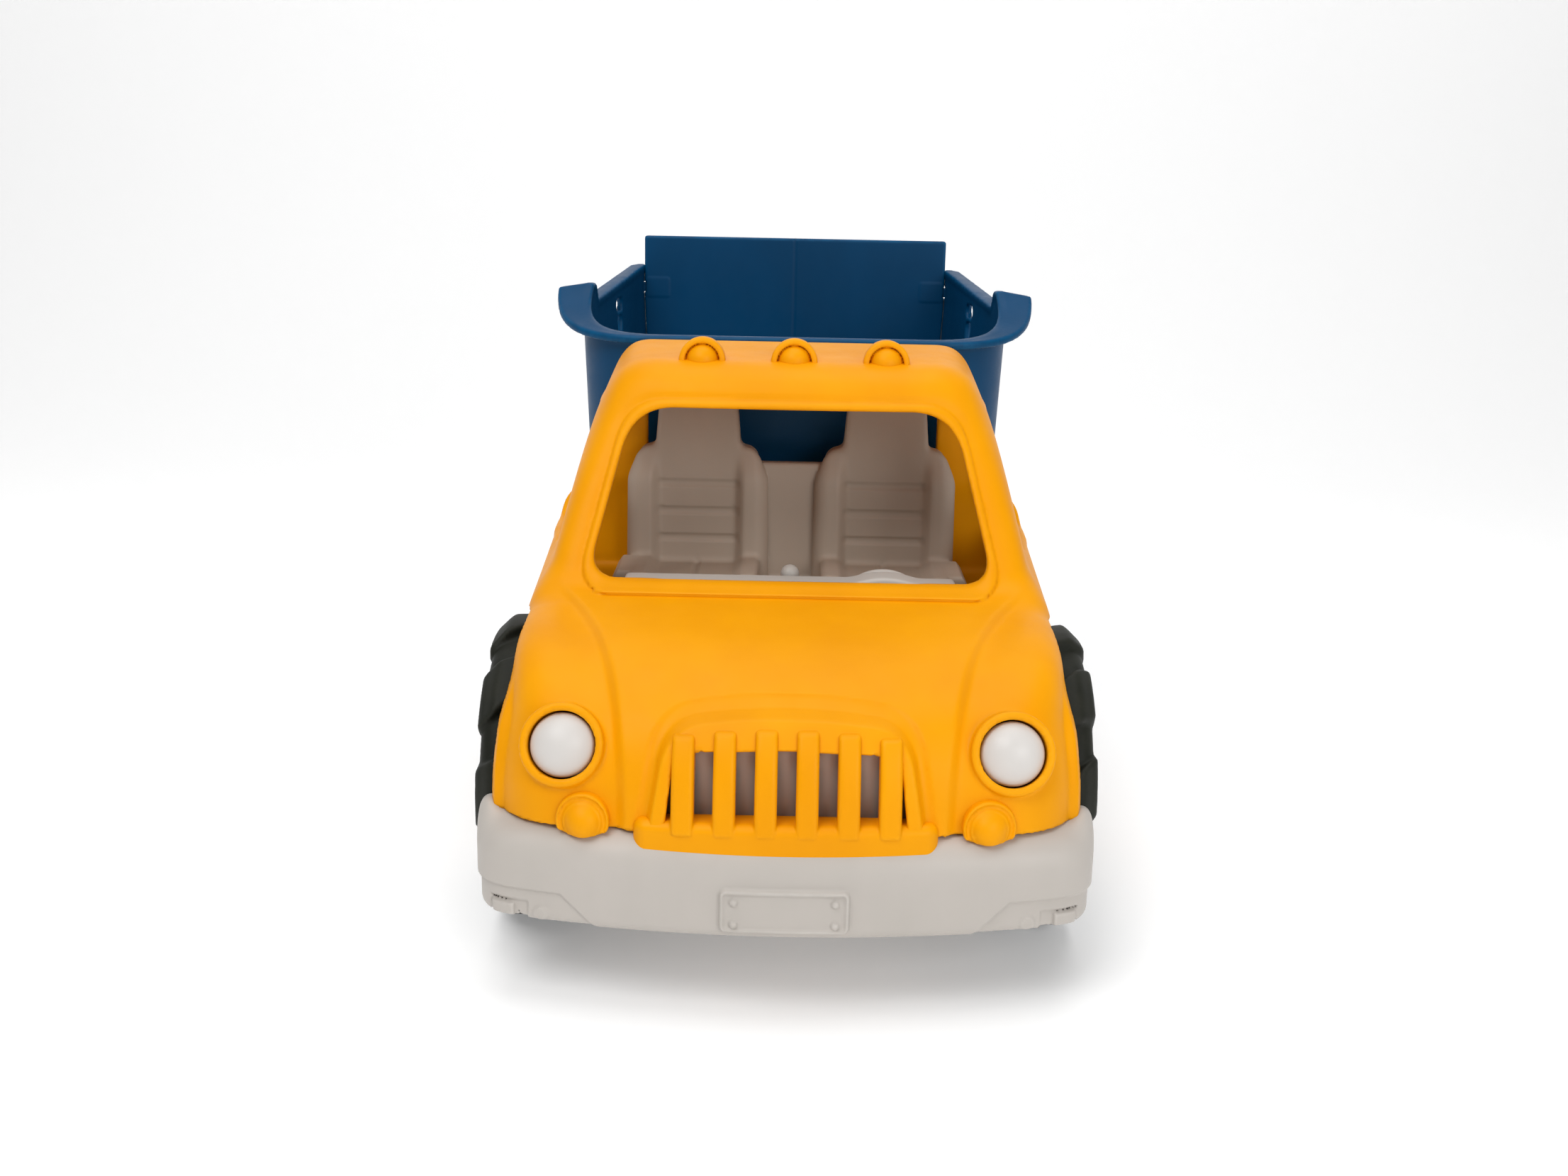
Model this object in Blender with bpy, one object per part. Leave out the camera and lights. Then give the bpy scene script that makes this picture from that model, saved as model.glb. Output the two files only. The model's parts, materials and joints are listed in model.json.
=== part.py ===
"""A toddler's plastic dump truck: grey chassis with a front bumper, orange cab, blue tipping bed.

The truck faces -Y and stands on Z = 0. The origin is under the middle of its overall length and width.
Lengths along the truck are given as distances behind its nose, through aft().
"""

import math

import bpy
import bmesh
from mathutils import Matrix, Vector

# Overall
LENGTH = 0.345
HALF_WIDTH = 0.1025
GAP = 0.0003  # between pieces that touch or turn in each other
WALL = 0.0028  # moulded wall thickness

# Wheels and axles
WHEEL_RADIUS = 0.053
TREAD_DEPTH = 0.0035
TYRE_WIDTH = 0.038
TYRE_WALL = 0.0030
TYRE_CAVITY = 0.0446  # outer radius of the hollow, which is open towards the frame
LUG_COUNT = 9
LUG_FOOT = 0.95  # how far in a lug's shoulder reaches, as a share of its radius
RIM_RADIUS = 0.0300
FRONT_AXLE = 0.0880
REAR_AXLE = 0.2580
AXLE_RADIUS = 0.0025
AXLE_HALF_LENGTH = 0.0985

# Chassis
FRAME_HALF_WIDTH = 0.056
FRAME_BOTTOM = 0.038
DECK_TOP = 0.072
FRAME_FRONT = 0.030
FRAME_REAR = 0.330
COVER_THICKNESS = 0.0025
COVER_SCREWS = [(side * 0.030, distance) for side in (-1, 1) for distance in (0.070, 0.290)]
STEP_HALF_WIDTH = 0.091
STEP_TOP = 0.059
STEP_BOTTOM = 0.044

# Bumper
BUMPER_HALF_WIDTH = 0.097
BUMPER_BOTTOM = 0.0285
BUMPER_TOP = 0.0590
BUMPER_REAR = 0.0340
BUMPER_NOSE = 0.0012
BUMPER_BOW_RADIUS = 0.357  # plan radius of the bumper's front face
# The rounded top edge: depth below the top, and distance in from the front face
BUMPER_SHOULDER = [(0.0120, 0.0), (0.0078, 0.0012), (0.0046, 0.0036), (0.0016, 0.0078), (0.0, 0.0125)]

# Cab
CAB_BOTTOM = 0.0593
CAB_REAR = 0.197
ARCH_RADIUS = 0.0555
LAMP_X = 0.0705
LAMP_AFT = 0.0195
LAMP_Z = 0.0845
LAMP_TURN = 0.02  # sideways share of the headlamp's axis
LAMP_TILT = math.radians(20)
LAMP_RADIUS = 0.0102
LAMP_RING_RADIUS = 0.0133
ROOF_LAMP_X = 0.0339
ROOF_LAMP_AFT = 0.1450
ROOF_LAMP_Z = 0.1900
SLAT_COUNT = 6
SLAT_PITCH = 0.01285
SLAT_HALF_WIDTH = 0.0034
# Height, distance of the front surface behind the nose, and half width of the lower body
LOWER_BODY = [
    (0.0593, 0.0085, 0.0945),
    (0.0740, 0.0115, 0.0960),
    (0.0840, 0.0150, 0.0960),
    (0.0920, 0.0200, 0.0955),
    (0.0985, 0.0275, 0.0945),
    (0.1040, 0.0375, 0.0930),
    (0.1090, 0.0530, 0.0910),
    (0.1130, 0.0720, 0.0890),
    (0.1165, 0.0920, 0.0850),
]
# The same for the cabin above it
CABIN = [
    (0.1050, 0.0895, 0.0862),
    (0.1170, 0.0945, 0.0858),
    (0.1400, 0.1080, 0.0820),
    (0.1600, 0.1195, 0.0770),
    (0.1730, 0.1265, 0.0732),
    (0.1775, 0.1262, 0.0712),
    (0.1840, 0.1290, 0.0672),
    (0.1885, 0.1340, 0.0625),
    (0.1915, 0.1410, 0.0560),
    (0.1932, 0.1510, 0.0480),
]
CAB_SCREWS = [(side * x, distance) for side in (-1, 1) for x, distance in ((0.048, 0.058), (0.050, 0.1925))]

# Seats and dashboard
SEAT_X = 0.0370
SEAT_BACK_AFT = 0.178
FLOOR_TOP = 0.0748

LEVER_AFT = 0.1360
STEER_X = 0.0340
STEER_AFT = 0.1215
STEER_Z = 0.1020
STEER_RAKE = math.radians(25)
STEER_RIM_RADIUS = 0.0135

# Bed
BED_FLOOR_BOTTOM = 0.112
BED_FRONT = 0.2045
BED_REAR = 0.3375
BED_HALF_FRONT = 0.0865
BED_HALF_REAR = 0.0745
BED_CORNER = 0.040
BED_RIM = 0.1930
BED_RAIL_FRONT = 0.2035
BED_RAIL_REAR = 0.2125
BED_EAR_TOP = 0.2100
TAILGATE_TOP = 0.226
TAILGATE_HALF = 0.0703
TAILGATE_THICKNESS = 0.003
TIP_AFT = 0.312
TIP_Z = 0.090
TIP_PIN_RADIUS = 0.0025
GATE_PIN_Z = 0.202
GATE_PIN_RADIUS = 0.002

ROUND = 32  # sides of a plain round piece
FINE_ROUND = 36


def aft(distance):
    """The Y of a point this far behind the nose."""
    return distance - LENGTH / 2


# Materials


def plastic(name, colour, roughness=0.45, metallic=0.0):
    made = bpy.data.materials.new(name)
    made.use_nodes = True
    shader = made.node_tree.nodes["Principled BSDF"]
    shader.inputs["Base Color"].default_value = (*colour, 1.0)
    shader.inputs["Roughness"].default_value = roughness
    shader.inputs["Metallic"].default_value = metallic
    return made


# Mesh helpers


def add_object(name, mesh, material=None):
    made = bpy.data.objects.new(name, mesh)
    bpy.context.scene.collection.objects.link(made)
    if material is not None:
        mesh.materials.append(material)
    return made


def object_from(name, build, material=None):
    """One object from a bmesh that build(bm) fills in."""
    bm = bmesh.new()
    build(bm)
    bmesh.ops.recalc_face_normals(bm, faces=bm.faces)
    mesh = bpy.data.meshes.new(name)
    bm.to_mesh(mesh)
    bm.free()
    return add_object(name, mesh, material)


def loft(name, rings, material=None):
    """A closed solid through rings of equally many points, with its two ends capped."""

    def build(bm):
        rows = [[bm.verts.new(p) for p in ring] for ring in rings]
        for row, following in zip(rows, rows[1:]):
            for i, corner in enumerate(row):
                j = (i + 1) % len(row)
                bm.faces.new((corner, row[j], following[j], following[i]))
        bm.faces.new(rows[0])
        bm.faces.new(rows[-1])

    return object_from(name, build, material)


def prism(name, outline, axis, low, high, material=None):
    """An outline in the two axes other than axis, in X, Y, Z order, extruded along axis from low to high."""

    def place(point, along):
        values = list(point)
        values.insert("XYZ".index(axis), along)
        return Vector(values)

    return loft(name, [[place(p, low) for p in outline], [place(p, high) for p in outline]], material)


def box(name, low, high, material=None):
    outline = [(low[0], low[1]), (high[0], low[1]), (high[0], high[1]), (low[0], high[1])]
    return prism(name, outline, "Z", low[2], high[2], material)


def arc(centre, radius, start, end, steps):
    """Points along an arc, angles in degrees."""
    return [
        (
            centre[0] + radius * math.cos(math.radians(start + (end - start) * i / steps)),
            centre[1] + radius * math.sin(math.radians(start + (end - start) * i / steps)),
        )
        for i in range(steps + 1)
    ]


def rounded(corners, radius, steps=4):
    """A closed convex outline with each of its corners rounded to radius."""
    outline = []
    for i, corner in enumerate(corners):
        here = Vector(corner)
        before = (Vector(corners[i - 1]) - here).normalized()
        after = (Vector(corners[(i + 1) % len(corners)]) - here).normalized()
        half_angle = before.angle(after) / 2
        reach = radius / math.tan(half_angle)
        start, end = here + before * reach, here + after * reach
        centre = here + (before + after).normalized() * (radius / math.sin(half_angle))
        for step in range(steps + 1):
            spoke = (start - centre).lerp(end - centre, step / steps).normalized() * radius
            outline.append(tuple(centre + spoke))
    return outline


def turned(name, profile, centre, axis="X", sides=ROUND, material=None):
    """A solid of revolution. The profile is a closed outline of (distance along the axis, radius)."""
    turn = {"X": Matrix.Rotation(math.radians(90), 3, "Y"), "Y": Matrix.Rotation(math.radians(-90), 3, "X")}
    turn["Z"] = Matrix.Identity(3)

    def spin(angle, along, radius):
        point = Vector((radius * math.cos(angle), radius * math.sin(angle), along))
        return Vector(centre) + turn[axis] @ point

    def build(bm):
        rows = []
        numbered = list(enumerate(profile))
        poles = {k: bm.verts.new(spin(0.0, *point)) for k, point in numbered if point[1] < 1e-9}
        for i in range(sides):
            angle = 2 * math.pi * i / sides
            rows.append([poles.get(k) or bm.verts.new(spin(angle, *point)) for k, point in numbered])
        for row, following in zip(rows, rows[1:] + rows[:1]):
            for k in range(len(profile)):
                n = (k + 1) % len(profile)
                corners = dict.fromkeys((row[k], row[n], following[n], following[k]))
                if len(corners) > 2:
                    bm.faces.new(corners)

    return object_from(name, build, material)


def rod(name, axis, centre, radius, low, high, sides=ROUND, material=None):
    """A plain cylinder along axis. centre gives its place in the other two axes, in X, Y, Z order."""
    outline = arc(centre, radius, 0, 360, sides)[:-1]
    return prism(name, outline, axis, low, high, material)


def split_faces(made):
    """Splits every face into triangles: a Boolean needs faces that are exactly flat."""
    bm = bmesh.new()
    bm.from_mesh(made.data)
    bmesh.ops.triangulate(bm, faces=bm.faces)
    bm.to_mesh(made.data)
    bm.free()


def combine(target, operation, *tools):
    """Applies an exact Boolean of each tool to target, then removes the tool."""
    for tool in tools:
        split_faces(target)
        split_faces(tool)
        modifier = target.modifiers.new(operation, "BOOLEAN")
        modifier.operation = operation
        modifier.solver = "EXACT"
        modifier.object = tool
        evaluated = target.evaluated_get(bpy.context.evaluated_depsgraph_get())
        result = bpy.data.meshes.new_from_object(evaluated)
        target.modifiers.clear()
        spent, target.data = target.data, result
        bpy.data.meshes.remove(spent)
        bpy.data.objects.remove(tool)
    return target


def join(target, *tools):
    return combine(target, "UNION", *tools)


def cut(target, *tools):
    return combine(target, "DIFFERENCE", *tools)


def both_sides(make):
    """Calls make(side) for the truck's -X side and its +X side."""
    return [make(side) for side in (-1, 1)]


def finish_shading(made, angle=35):
    """Merges triangles that lie in one plane, and shades all but the sharp edges smooth."""
    bm = bmesh.new()
    bm.from_mesh(made.data)
    bmesh.ops.dissolve_limit(bm, angle_limit=math.radians(0.05), verts=bm.verts, edges=bm.edges)
    bm.to_mesh(made.data)
    bm.free()
    made.data.shade_smooth()
    made.data.set_sharp_from_angle(angle=math.radians(angle))
    return made


def put_origin(made, point):
    """Moves the object's origin to point, so that a moving piece turns about its own axis."""
    made.data.transform(Matrix.Translation(-Vector(point)))
    made.location = Vector(point)
    return made


# Chassis


def bumper_outline(inset=0.0, rear=BUMPER_REAR):
    """Plan of the bumper: a bowed front, rounded ends and a straight back."""
    corner = 0.013 - inset
    half = BUMPER_HALF_WIDTH - inset
    bow = BUMPER_BOW_RADIUS - inset
    bow_centre = aft(BUMPER_NOSE) + BUMPER_BOW_RADIUS
    reach = half - corner * 0.85
    front = [(x, bow_centre - math.sqrt(bow**2 - x**2)) for x in (reach * k / 5 for k in range(-5, 6))]
    end_y = front[-1][1]
    depth = aft(BUMPER_REAR) - end_y
    shares = ((0.33, 0.12), (0.09, 0.35), (0.0, 0.60))
    end = [(half - corner * inward, end_y + depth * behind) for inward, behind in shares]
    end.append((half - 0.002, aft(rear)))
    return [(-x, y) for x, y in reversed(end)] + front + end


def bumper(grey):
    """A deep hollow bumper, open below and behind, with a number plate and four corner markers."""

    def ring(z, inset, rear=BUMPER_REAR):
        return [Vector((x, y, z)) for x, y in bumper_outline(inset, rear)]

    outer = [ring(BUMPER_BOTTOM, 0.002), ring(BUMPER_BOTTOM + 0.003, 0.0)]
    outer += [ring(BUMPER_TOP - drop, inset) for drop, inset in BUMPER_SHOULDER]
    made = loft("chassis", outer, grey)
    beyond = BUMPER_REAR + 0.005
    pocket = [ring(BUMPER_BOTTOM - 0.005, 0.0050, beyond), ring(BUMPER_TOP - 0.0130, 0.0055, beyond)]
    pocket += [ring(BUMPER_TOP - WALL - drop, inset + WALL, beyond) for drop, inset in BUMPER_SHOULDER[2:]]
    cut(made, loft("bumper_pocket", pocket))
    plate = rounded([(-0.0205, 0.0308), (0.0205, 0.0308), (0.0205, 0.0452), (-0.0205, 0.0452)], 0.0025, 3)
    join(made, prism("number_plate", plate, "Y", aft(0.0), aft(0.0045)))
    return made


def radiator():
    """The upright panel behind the grille, stiffened by the deck it stands on."""
    outline = rounded([(-0.041, 0.050), (0.041, 0.050), (0.038, 0.090), (-0.038, 0.090)], 0.006, 3)
    return prism("radiator", outline, "Y", aft(0.0310), aft(0.0338))


def hinge_ears():
    """Brackets at the rear of the frame that carry the bed's hinge pin."""
    outline = [(aft(TIP_AFT) - 0.014, DECK_TOP - 0.004), (aft(TIP_AFT) + 0.014, DECK_TOP - 0.004)]
    outline += arc((aft(TIP_AFT), TIP_Z), 0.008, 0, 180, 8)
    return both_sides(
        lambda side: prism("hinge_ear", outline, "X", side * 0.0405, side * 0.0465)
    )


def chassis(grey):
    """One moulding: bumper, tray-shaped frame, side steps, radiator panel and hinge brackets."""
    made = bumper(grey)
    frame_low = (-FRAME_HALF_WIDTH, aft(FRAME_FRONT), FRAME_BOTTOM)
    frame = box("frame", frame_low, (FRAME_HALF_WIDTH, aft(FRAME_REAR), DECK_TOP))
    tray_low = (-FRAME_HALF_WIDTH + WALL, aft(FRAME_FRONT) + WALL + 0.004, FRAME_BOTTOM - 0.01)
    tray_high = (FRAME_HALF_WIDTH - WALL, aft(FRAME_REAR) - WALL, DECK_TOP - WALL)
    cut(frame, box("tray", tray_low, tray_high))
    join(made, frame, radiator())
    step_front, step_rear = aft(0.1445), aft(0.2025)
    for side in (-1, 1):
        inner, outer = sorted((side * (FRAME_HALF_WIDTH - 0.002), side * STEP_HALF_WIDTH))
        step = box("step", (inner, step_front, STEP_BOTTOM), (outer, step_rear, STEP_TOP))
        inner, outer = sorted((side * FRAME_HALF_WIDTH, side * (STEP_HALF_WIDTH - WALL)))
        hollow_low = (inner, step_front + WALL, STEP_BOTTOM - 0.01)
        cut(step, box("step_hollow", hollow_low, (outer, step_rear - WALL, STEP_TOP - WALL)))
        join(made, step)
    join(made, *hinge_ears())
    hole = AXLE_RADIUS + GAP
    for distance in (FRONT_AXLE, REAR_AXLE):
        cut(made, rod("axle_hole", "X", (aft(distance), WHEEL_RADIUS), hole, -0.07, 0.07, 24))
    cut(made, rod("tip_hole", "X", (aft(TIP_AFT), TIP_Z), TIP_PIN_RADIUS + GAP, -0.06, 0.06, 24))
    for x, distance in CAB_SCREWS:
        cut(made, rod("screw_hole", "Z", (x, aft(distance)), 0.0018, DECK_TOP - 0.01, DECK_TOP + 0.01, 16))
    return finish_shading(made)


def underbody_cover(grey):
    """The plate that closes the tray from below and holds the axles up, with four screw posts."""
    margin = WALL + GAP
    low = (-FRAME_HALF_WIDTH + margin, aft(0.045), FRAME_BOTTOM)
    high = (FRAME_HALF_WIDTH - margin, aft(FRAME_REAR) - margin, FRAME_BOTTOM + COVER_THICKNESS)
    made = box("underbody_cover", low, high, grey)
    saddle_top = WHEEL_RADIUS - AXLE_RADIUS - GAP
    for distance in (FRONT_AXLE, REAR_AXLE):
        for x in (-0.038, 0.038):
            saddle_low = (x - 0.0035, aft(distance) - 0.006, FRAME_BOTTOM + 0.001)
            join(made, box("saddle", saddle_low, (x + 0.0035, aft(distance) + 0.006, saddle_top)))
    for x, distance in COVER_SCREWS:
        post_top = DECK_TOP - WALL - GAP
        join(made, rod("post", "Z", (x, aft(distance)), 0.0045, FRAME_BOTTOM + 0.001, post_top, 16))
        cut(made, rod("pilot", "Z", (x, aft(distance)), 0.0016, FRAME_BOTTOM - 0.01, DECK_TOP - 0.0060, 16))
        seat_top = FRAME_BOTTOM + 0.0022
        cut(made, rod("head_seat", "Z", (x, aft(distance)), 0.0034, FRAME_BOTTOM - 0.01, seat_top, 16))
    return finish_shading(made)


def screw(name, x, distance, head_z, length, steel, head_radius=0.0030, up=1):
    """A pan-head screw. The head is at head_z and the shank points up, or down where up is -1."""
    shank = 0.0013
    profile = [(0, 0), (0, head_radius), (0.0010, head_radius), (0.0016, shank), (length, shank), (length, 0)]
    made = turned(name, [(up * a, r) for a, r in profile], (x, aft(distance), head_z), "Z", 16, steel)
    slot_low = (x - 0.002, aft(distance) - 0.0004, head_z - up * 0.0006)
    slot_high = (x + 0.002, aft(distance) + 0.0004, head_z + up * 0.0005)
    low = [min(a, b) for a, b in zip(slot_low, slot_high)]
    high = [max(a, b) for a, b in zip(slot_low, slot_high)]
    return finish_shading(cut(made, box("slot", low, high)))


# Cab


def smooth_step(value, low, high):
    """0 below low, 1 above high, and a smooth rise between."""
    t = min(1.0, max(0.0, (value - low) / (high - low)))
    return t * t * (3 - 2 * t)


def body_ring(z, front, half, corner, inset=0.0):
    """Plan of the cab at one height: a bowed front with round corners, straight sides and a straight back."""
    half -= inset
    front_y = aft(front) + inset
    rear_y = aft(CAB_REAR) - inset
    corner = max(0.004, corner - inset)
    bow = 0.0012 * 1000 * half * half
    points = []
    inner = half - corner
    for k in range(-3, 4):
        x = inner * k / 3
        points.append((x, front_y + bow * (x / half) ** 2))
    side_y = front_y + bow * (inner / half) ** 2 + corner
    right = arc((inner, side_y), corner, -90, 0, 5)[1:]
    left = [(-x, y) for x, y in reversed(right)]
    back = [(half, rear_y - 0.006), (half - 0.006, rear_y), (-half + 0.006, rear_y), (-half, rear_y - 0.006)]
    return [Vector((x, y, z)) for x, y in left + points + right + back]


def cab_solid(name, inset=0.0, material=None):
    """The cab's outer volume, or its inner one if inset."""
    bottom = inset * 4
    lower = [body_ring(z - inset, front, half, 0.024, inset) for z, front, half in LOWER_BODY]
    lower[0] = [Vector((p.x, p.y, CAB_BOTTOM - bottom)) for p in lower[0]]
    upper = [body_ring(z - inset, front, half, 0.013, inset) for z, front, half in CABIN]
    return join(loft(name, lower, material), loft("cabin", upper))


def grille_outline(half_low, half_high, low, high, radius):
    corners = [(-half_low, low), (half_low, low), (half_high, high), (-half_high, high)]
    return rounded(corners, radius, 4)


def add_grille(made):
    """A raised surround, an opening with six slats across it, and a bar along the bottom."""
    front, back = aft(-0.01), aft(0.05)
    grown = cab_solid("grille_surround", -0.0018)
    hollow = cab_solid("grille_hollow", 0.001)
    surround = grille_outline(0.0435, 0.0385, 0.0600, 0.0955, 0.010)
    combine(grown, "INTERSECT", prism("surround", surround, "Y", front, back))
    join(made, cut(grown, hollow))
    opening = grille_outline(0.0375, 0.0345, 0.0630, 0.0855, 0.002)
    cut(made, prism("opening", opening, "Y", front, aft(0.029)))
    for k in range(SLAT_COUNT):
        x = (k - (SLAT_COUNT - 1) / 2) * SLAT_PITCH
        front = [(aft(0.0072), 0.0615), (aft(0.0082), 0.0760), (aft(0.0130), 0.0928)]
        side_view = front + [(aft(0.0215), 0.0928), (aft(0.0145), 0.0760), (aft(0.0135), 0.0615)]
        join(made, prism("slat", side_view, "X", x - SLAT_HALF_WIDTH, x + SLAT_HALF_WIDTH))
    bow = [(x, aft(0.0045 + 0.0055 * (x / 0.0455) ** 2)) for x in (0.0455 * k / 4 for k in range(-4, 5))]
    bar = prism("grille_bar", bow + [(0.0455, aft(0.016)), (-0.0455, aft(0.016))], "Z", 0.0530, 0.0635)
    # The bar's underside follows the bumper's sloping top.
    under = [(aft(0.0), 0.0505), (aft(0.0), 0.0515), (aft(0.0100), 0.0594)]
    under += [(aft(0.02), 0.0594), (aft(0.02), 0.0505)]
    return join(made, cut(bar, prism("under", under, "X", -0.06, 0.06)))


def lamp_frame(side):
    """The axis and the face centre of a headlamp."""
    centre = Vector((side * LAMP_X, aft(LAMP_AFT), LAMP_Z))
    outward = Vector((side * LAMP_TURN, -math.cos(LAMP_TILT), math.sin(LAMP_TILT))).normalized()
    return centre, outward


def lamp_disc(name, side, profile, sides=FINE_ROUND, material=None):
    """A solid of revolution about the headlamp's axis. Distances grow outwards from its face."""
    centre, outward = lamp_frame(side)
    made = turned(name, profile, (0, 0, 0), "Z", sides, material)
    made.data.transform(Matrix.Translation(centre) @ outward.to_track_quat("Z", "Y").to_matrix().to_4x4())
    return made


def add_lamp_rings(made):
    for side in (-1, 1):
        tube = [(-0.007, 0), (-0.007, LAMP_RING_RADIUS), (0.0008, LAMP_RING_RADIUS)]
        tube += [(0.0016, 0.0122), (0.0016, 0)]
        join(made, lamp_disc("lamp_ring", side, tube, 32))
        bore = [(-0.02, 0), (-0.02, LAMP_RADIUS + 0.0006), (0.02, LAMP_RADIUS + 0.0006), (0.02, 0)]
        cut(made, lamp_disc("lamp_bore", side, bore, 32))
    return made


def cab_shell(orange):
    """The orange moulding: hollow, open below, with windscreen, side and rear openings and wheel arches."""
    made = cab_solid("cab_shell", 0.0, orange)
    cut(made, cab_solid("cab_hollow", WALL))
    add_lamp_rings(made)
    add_grille(made)
    windscreen = rounded([(-0.0725, 0.1195), (0.0725, 0.1195), (0.0585, 0.1725), (-0.0585, 0.1725)], 0.010, 5)
    cut(made, prism("windscreen", windscreen, "Y", aft(0.080), aft(0.150)))
    rear = rounded([(-0.060, 0.120), (0.060, 0.120), (0.056, 0.180), (-0.056, 0.180)], 0.008, 4)
    cut(made, prism("rear_window", rear, "Y", aft(0.180), aft(0.210)))
    side_window = [(aft(0.1290), 0.122), (aft(0.1850), 0.122), (aft(0.1850), 0.172), (aft(0.1480), 0.172)]
    cut(made, prism("side_windows", rounded(side_window, 0.006, 4), "X", -0.12, 0.12))
    for side in (-1, 1):
        low, high = sorted((side * 0.0620, side * 0.12))
        arch = arc((aft(FRONT_AXLE), WHEEL_RADIUS), ARCH_RADIUS, 0, 180, 24)
        arch += [(aft(FRONT_AXLE) - ARCH_RADIUS, 0.03), (aft(FRONT_AXLE) + ARCH_RADIUS, 0.03)]
        cut(made, prism("arch", arch, "X", low, high))
    rest = DECK_TOP + GAP
    frame_low = (-FRAME_HALF_WIDTH - 0.0005, aft(0.185), 0.050)
    cut(made, box("frame_way", frame_low, (FRAME_HALF_WIDTH + 0.0005, aft(0.200), rest)))
    for x, distance in CAB_SCREWS:
        join(made, rod("boss", "Z", (x, aft(distance)), 0.0042, rest, 0.1070, 16))
        cut(made, rod("pilot", "Z", (x, aft(distance)), 0.0013 + GAP, 0.07, 0.085, 16))
    for x in (-ROOF_LAMP_X, 0.0, ROOF_LAMP_X):
        lens = [(0, 0), (0, 0.0072)] + [(0.0062 * math.sin(a), 0.0072 * math.cos(a)) for a in (0.4, 0.8, 1.2)]
        lens += [(0.0062, 0)]
        join(made, turned("roof_lamp", lens, (x, aft(ROOF_LAMP_AFT), ROOF_LAMP_Z), "Z", 20))
    return finish_shading(made, 30)


def headlamp(name, side, grey):
    """A domed lens with a stem that plugs into the cab's ring."""
    radius = LAMP_RADIUS
    dome = [(-0.006, 0), (-0.006, radius - 0.001), (0.0002, radius - 0.001)]
    dome += [(0.0002, radius), (0.0014, radius)]
    dome += [(0.0014 + 0.0026 * math.sin(a), radius * math.cos(a)) for a in (0.45, 0.85, 1.2)]
    dome += [(0.0040, 0)]
    return finish_shading(lamp_disc(name, side, dome, 32, grey), 25)


# Cab interior


def seat_back_outline():
    """Front view of one seat back: shoulders and a narrower, tall headrest."""
    right = [(0.0255, 0.0760), (0.0250, 0.1000), (0.0240, 0.1460)]
    right += arc((0.0190, 0.1480), 0.0050, 0, 80, 3)[1:]
    right += [(0.0168, 0.1560), (0.0150, 0.1700)]
    right += arc((0.0110, 0.1715), 0.0040, 0, 90, 3)
    return right + [(-x, z) for x, z in reversed(right)]


def seat_unit(grey):
    """One moulding: floor, two bucket seats, the low wall between them and the gear lever's console."""
    floor_low = (-0.0640, aft(0.1050), FLOOR_TOP - 0.0025)
    made = box("seat_unit", floor_low, (0.0640, aft(0.1880), FLOOR_TOP), grey)
    cushion_top = 0.1060
    for side in (-1, 1):
        middle = side * SEAT_X
        back = [(middle + x, z) for x, z in seat_back_outline()]
        join(made, prism("seat_back", back, "Y", aft(SEAT_BACK_AFT), aft(SEAT_BACK_AFT + 0.0100)))
        low = (middle - 0.0250, aft(0.1440), FLOOR_TOP - 0.001)
        join(made, box("cushion", low, (middle + 0.0250, aft(SEAT_BACK_AFT + 0.001), cushion_top)))
        for bolster in (-1, 1):
            x = middle + bolster * 0.0213
            front, rear = aft(0.1450), aft(SEAT_BACK_AFT + 0.002)
            shape = [(front, cushion_top - 0.003), (rear, cushion_top - 0.003), (rear, 0.1460)]
            shape += [(rear - 0.006, 0.1440), (rear - 0.010, 0.1130), (front, cushion_top + 0.004)]
            join(made, prism("bolster", shape, "X", x - 0.0034, x + 0.0034))
    wall_low = (-0.0160, aft(SEAT_BACK_AFT + 0.003), FLOOR_TOP - 0.001)
    join(made, box("middle_wall", wall_low, (0.0160, aft(SEAT_BACK_AFT + 0.009), 0.1460)))
    console_low = (-0.0150, aft(0.1280), FLOOR_TOP - 0.001)
    join(made, box("console", console_low, (0.0150, aft(SEAT_BACK_AFT + 0.004), 0.1000)))
    cut(made, rod("lever_socket", "Z", (0.0, aft(LEVER_AFT)), 0.0018, 0.0920, 0.11, 16))
    return finish_shading(made)


def dashboard(grey):
    """The shelf under the windscreen, with a cowl and a stub for the steering wheel on the driver's side."""
    side_view = [(aft(0.1045), 0.0950), (aft(0.1100), 0.0820), (aft(0.1150), 0.0820), (aft(0.1180), 0.1080)]
    side_view += [(aft(0.1150), 0.1160), (aft(0.1045), 0.1160)]
    made = prism("dashboard", side_view, "X", -0.0600, 0.0600, grey)
    cowl = [(0.0180, 0.1120), (0.0500, 0.1120), (0.0460, 0.1175), (0.0400, 0.1188), (0.0280, 0.1188)]
    join(made, prism("cowl", cowl + [(0.0220, 0.1175)], "Y", aft(0.1055), aft(0.1150)))
    stub = [(-0.012, 0), (-0.012, 0.0042), (0.0, 0.0042), (0.0, 0.0018), (0.0045, 0.0018), (0.0045, 0)]
    join(made, steering_part("stub", stub))
    return finish_shading(made)


def steering_place():
    """Takes a piece modelled along Z to the steering column, which leans back towards the driver."""
    along = Vector((0, math.cos(STEER_RAKE), math.sin(STEER_RAKE)))
    turn = along.to_track_quat("Z", "X").to_matrix().to_4x4()
    return Matrix.Translation((STEER_X, aft(STEER_AFT), STEER_Z)) @ turn


def steering_part(name, profile, sides=24, material=None):
    """A solid of revolution about the steering column."""
    made = turned(name, profile, (0, 0, 0), "Z", sides, material)
    made.data.transform(steering_place())
    return made


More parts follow.
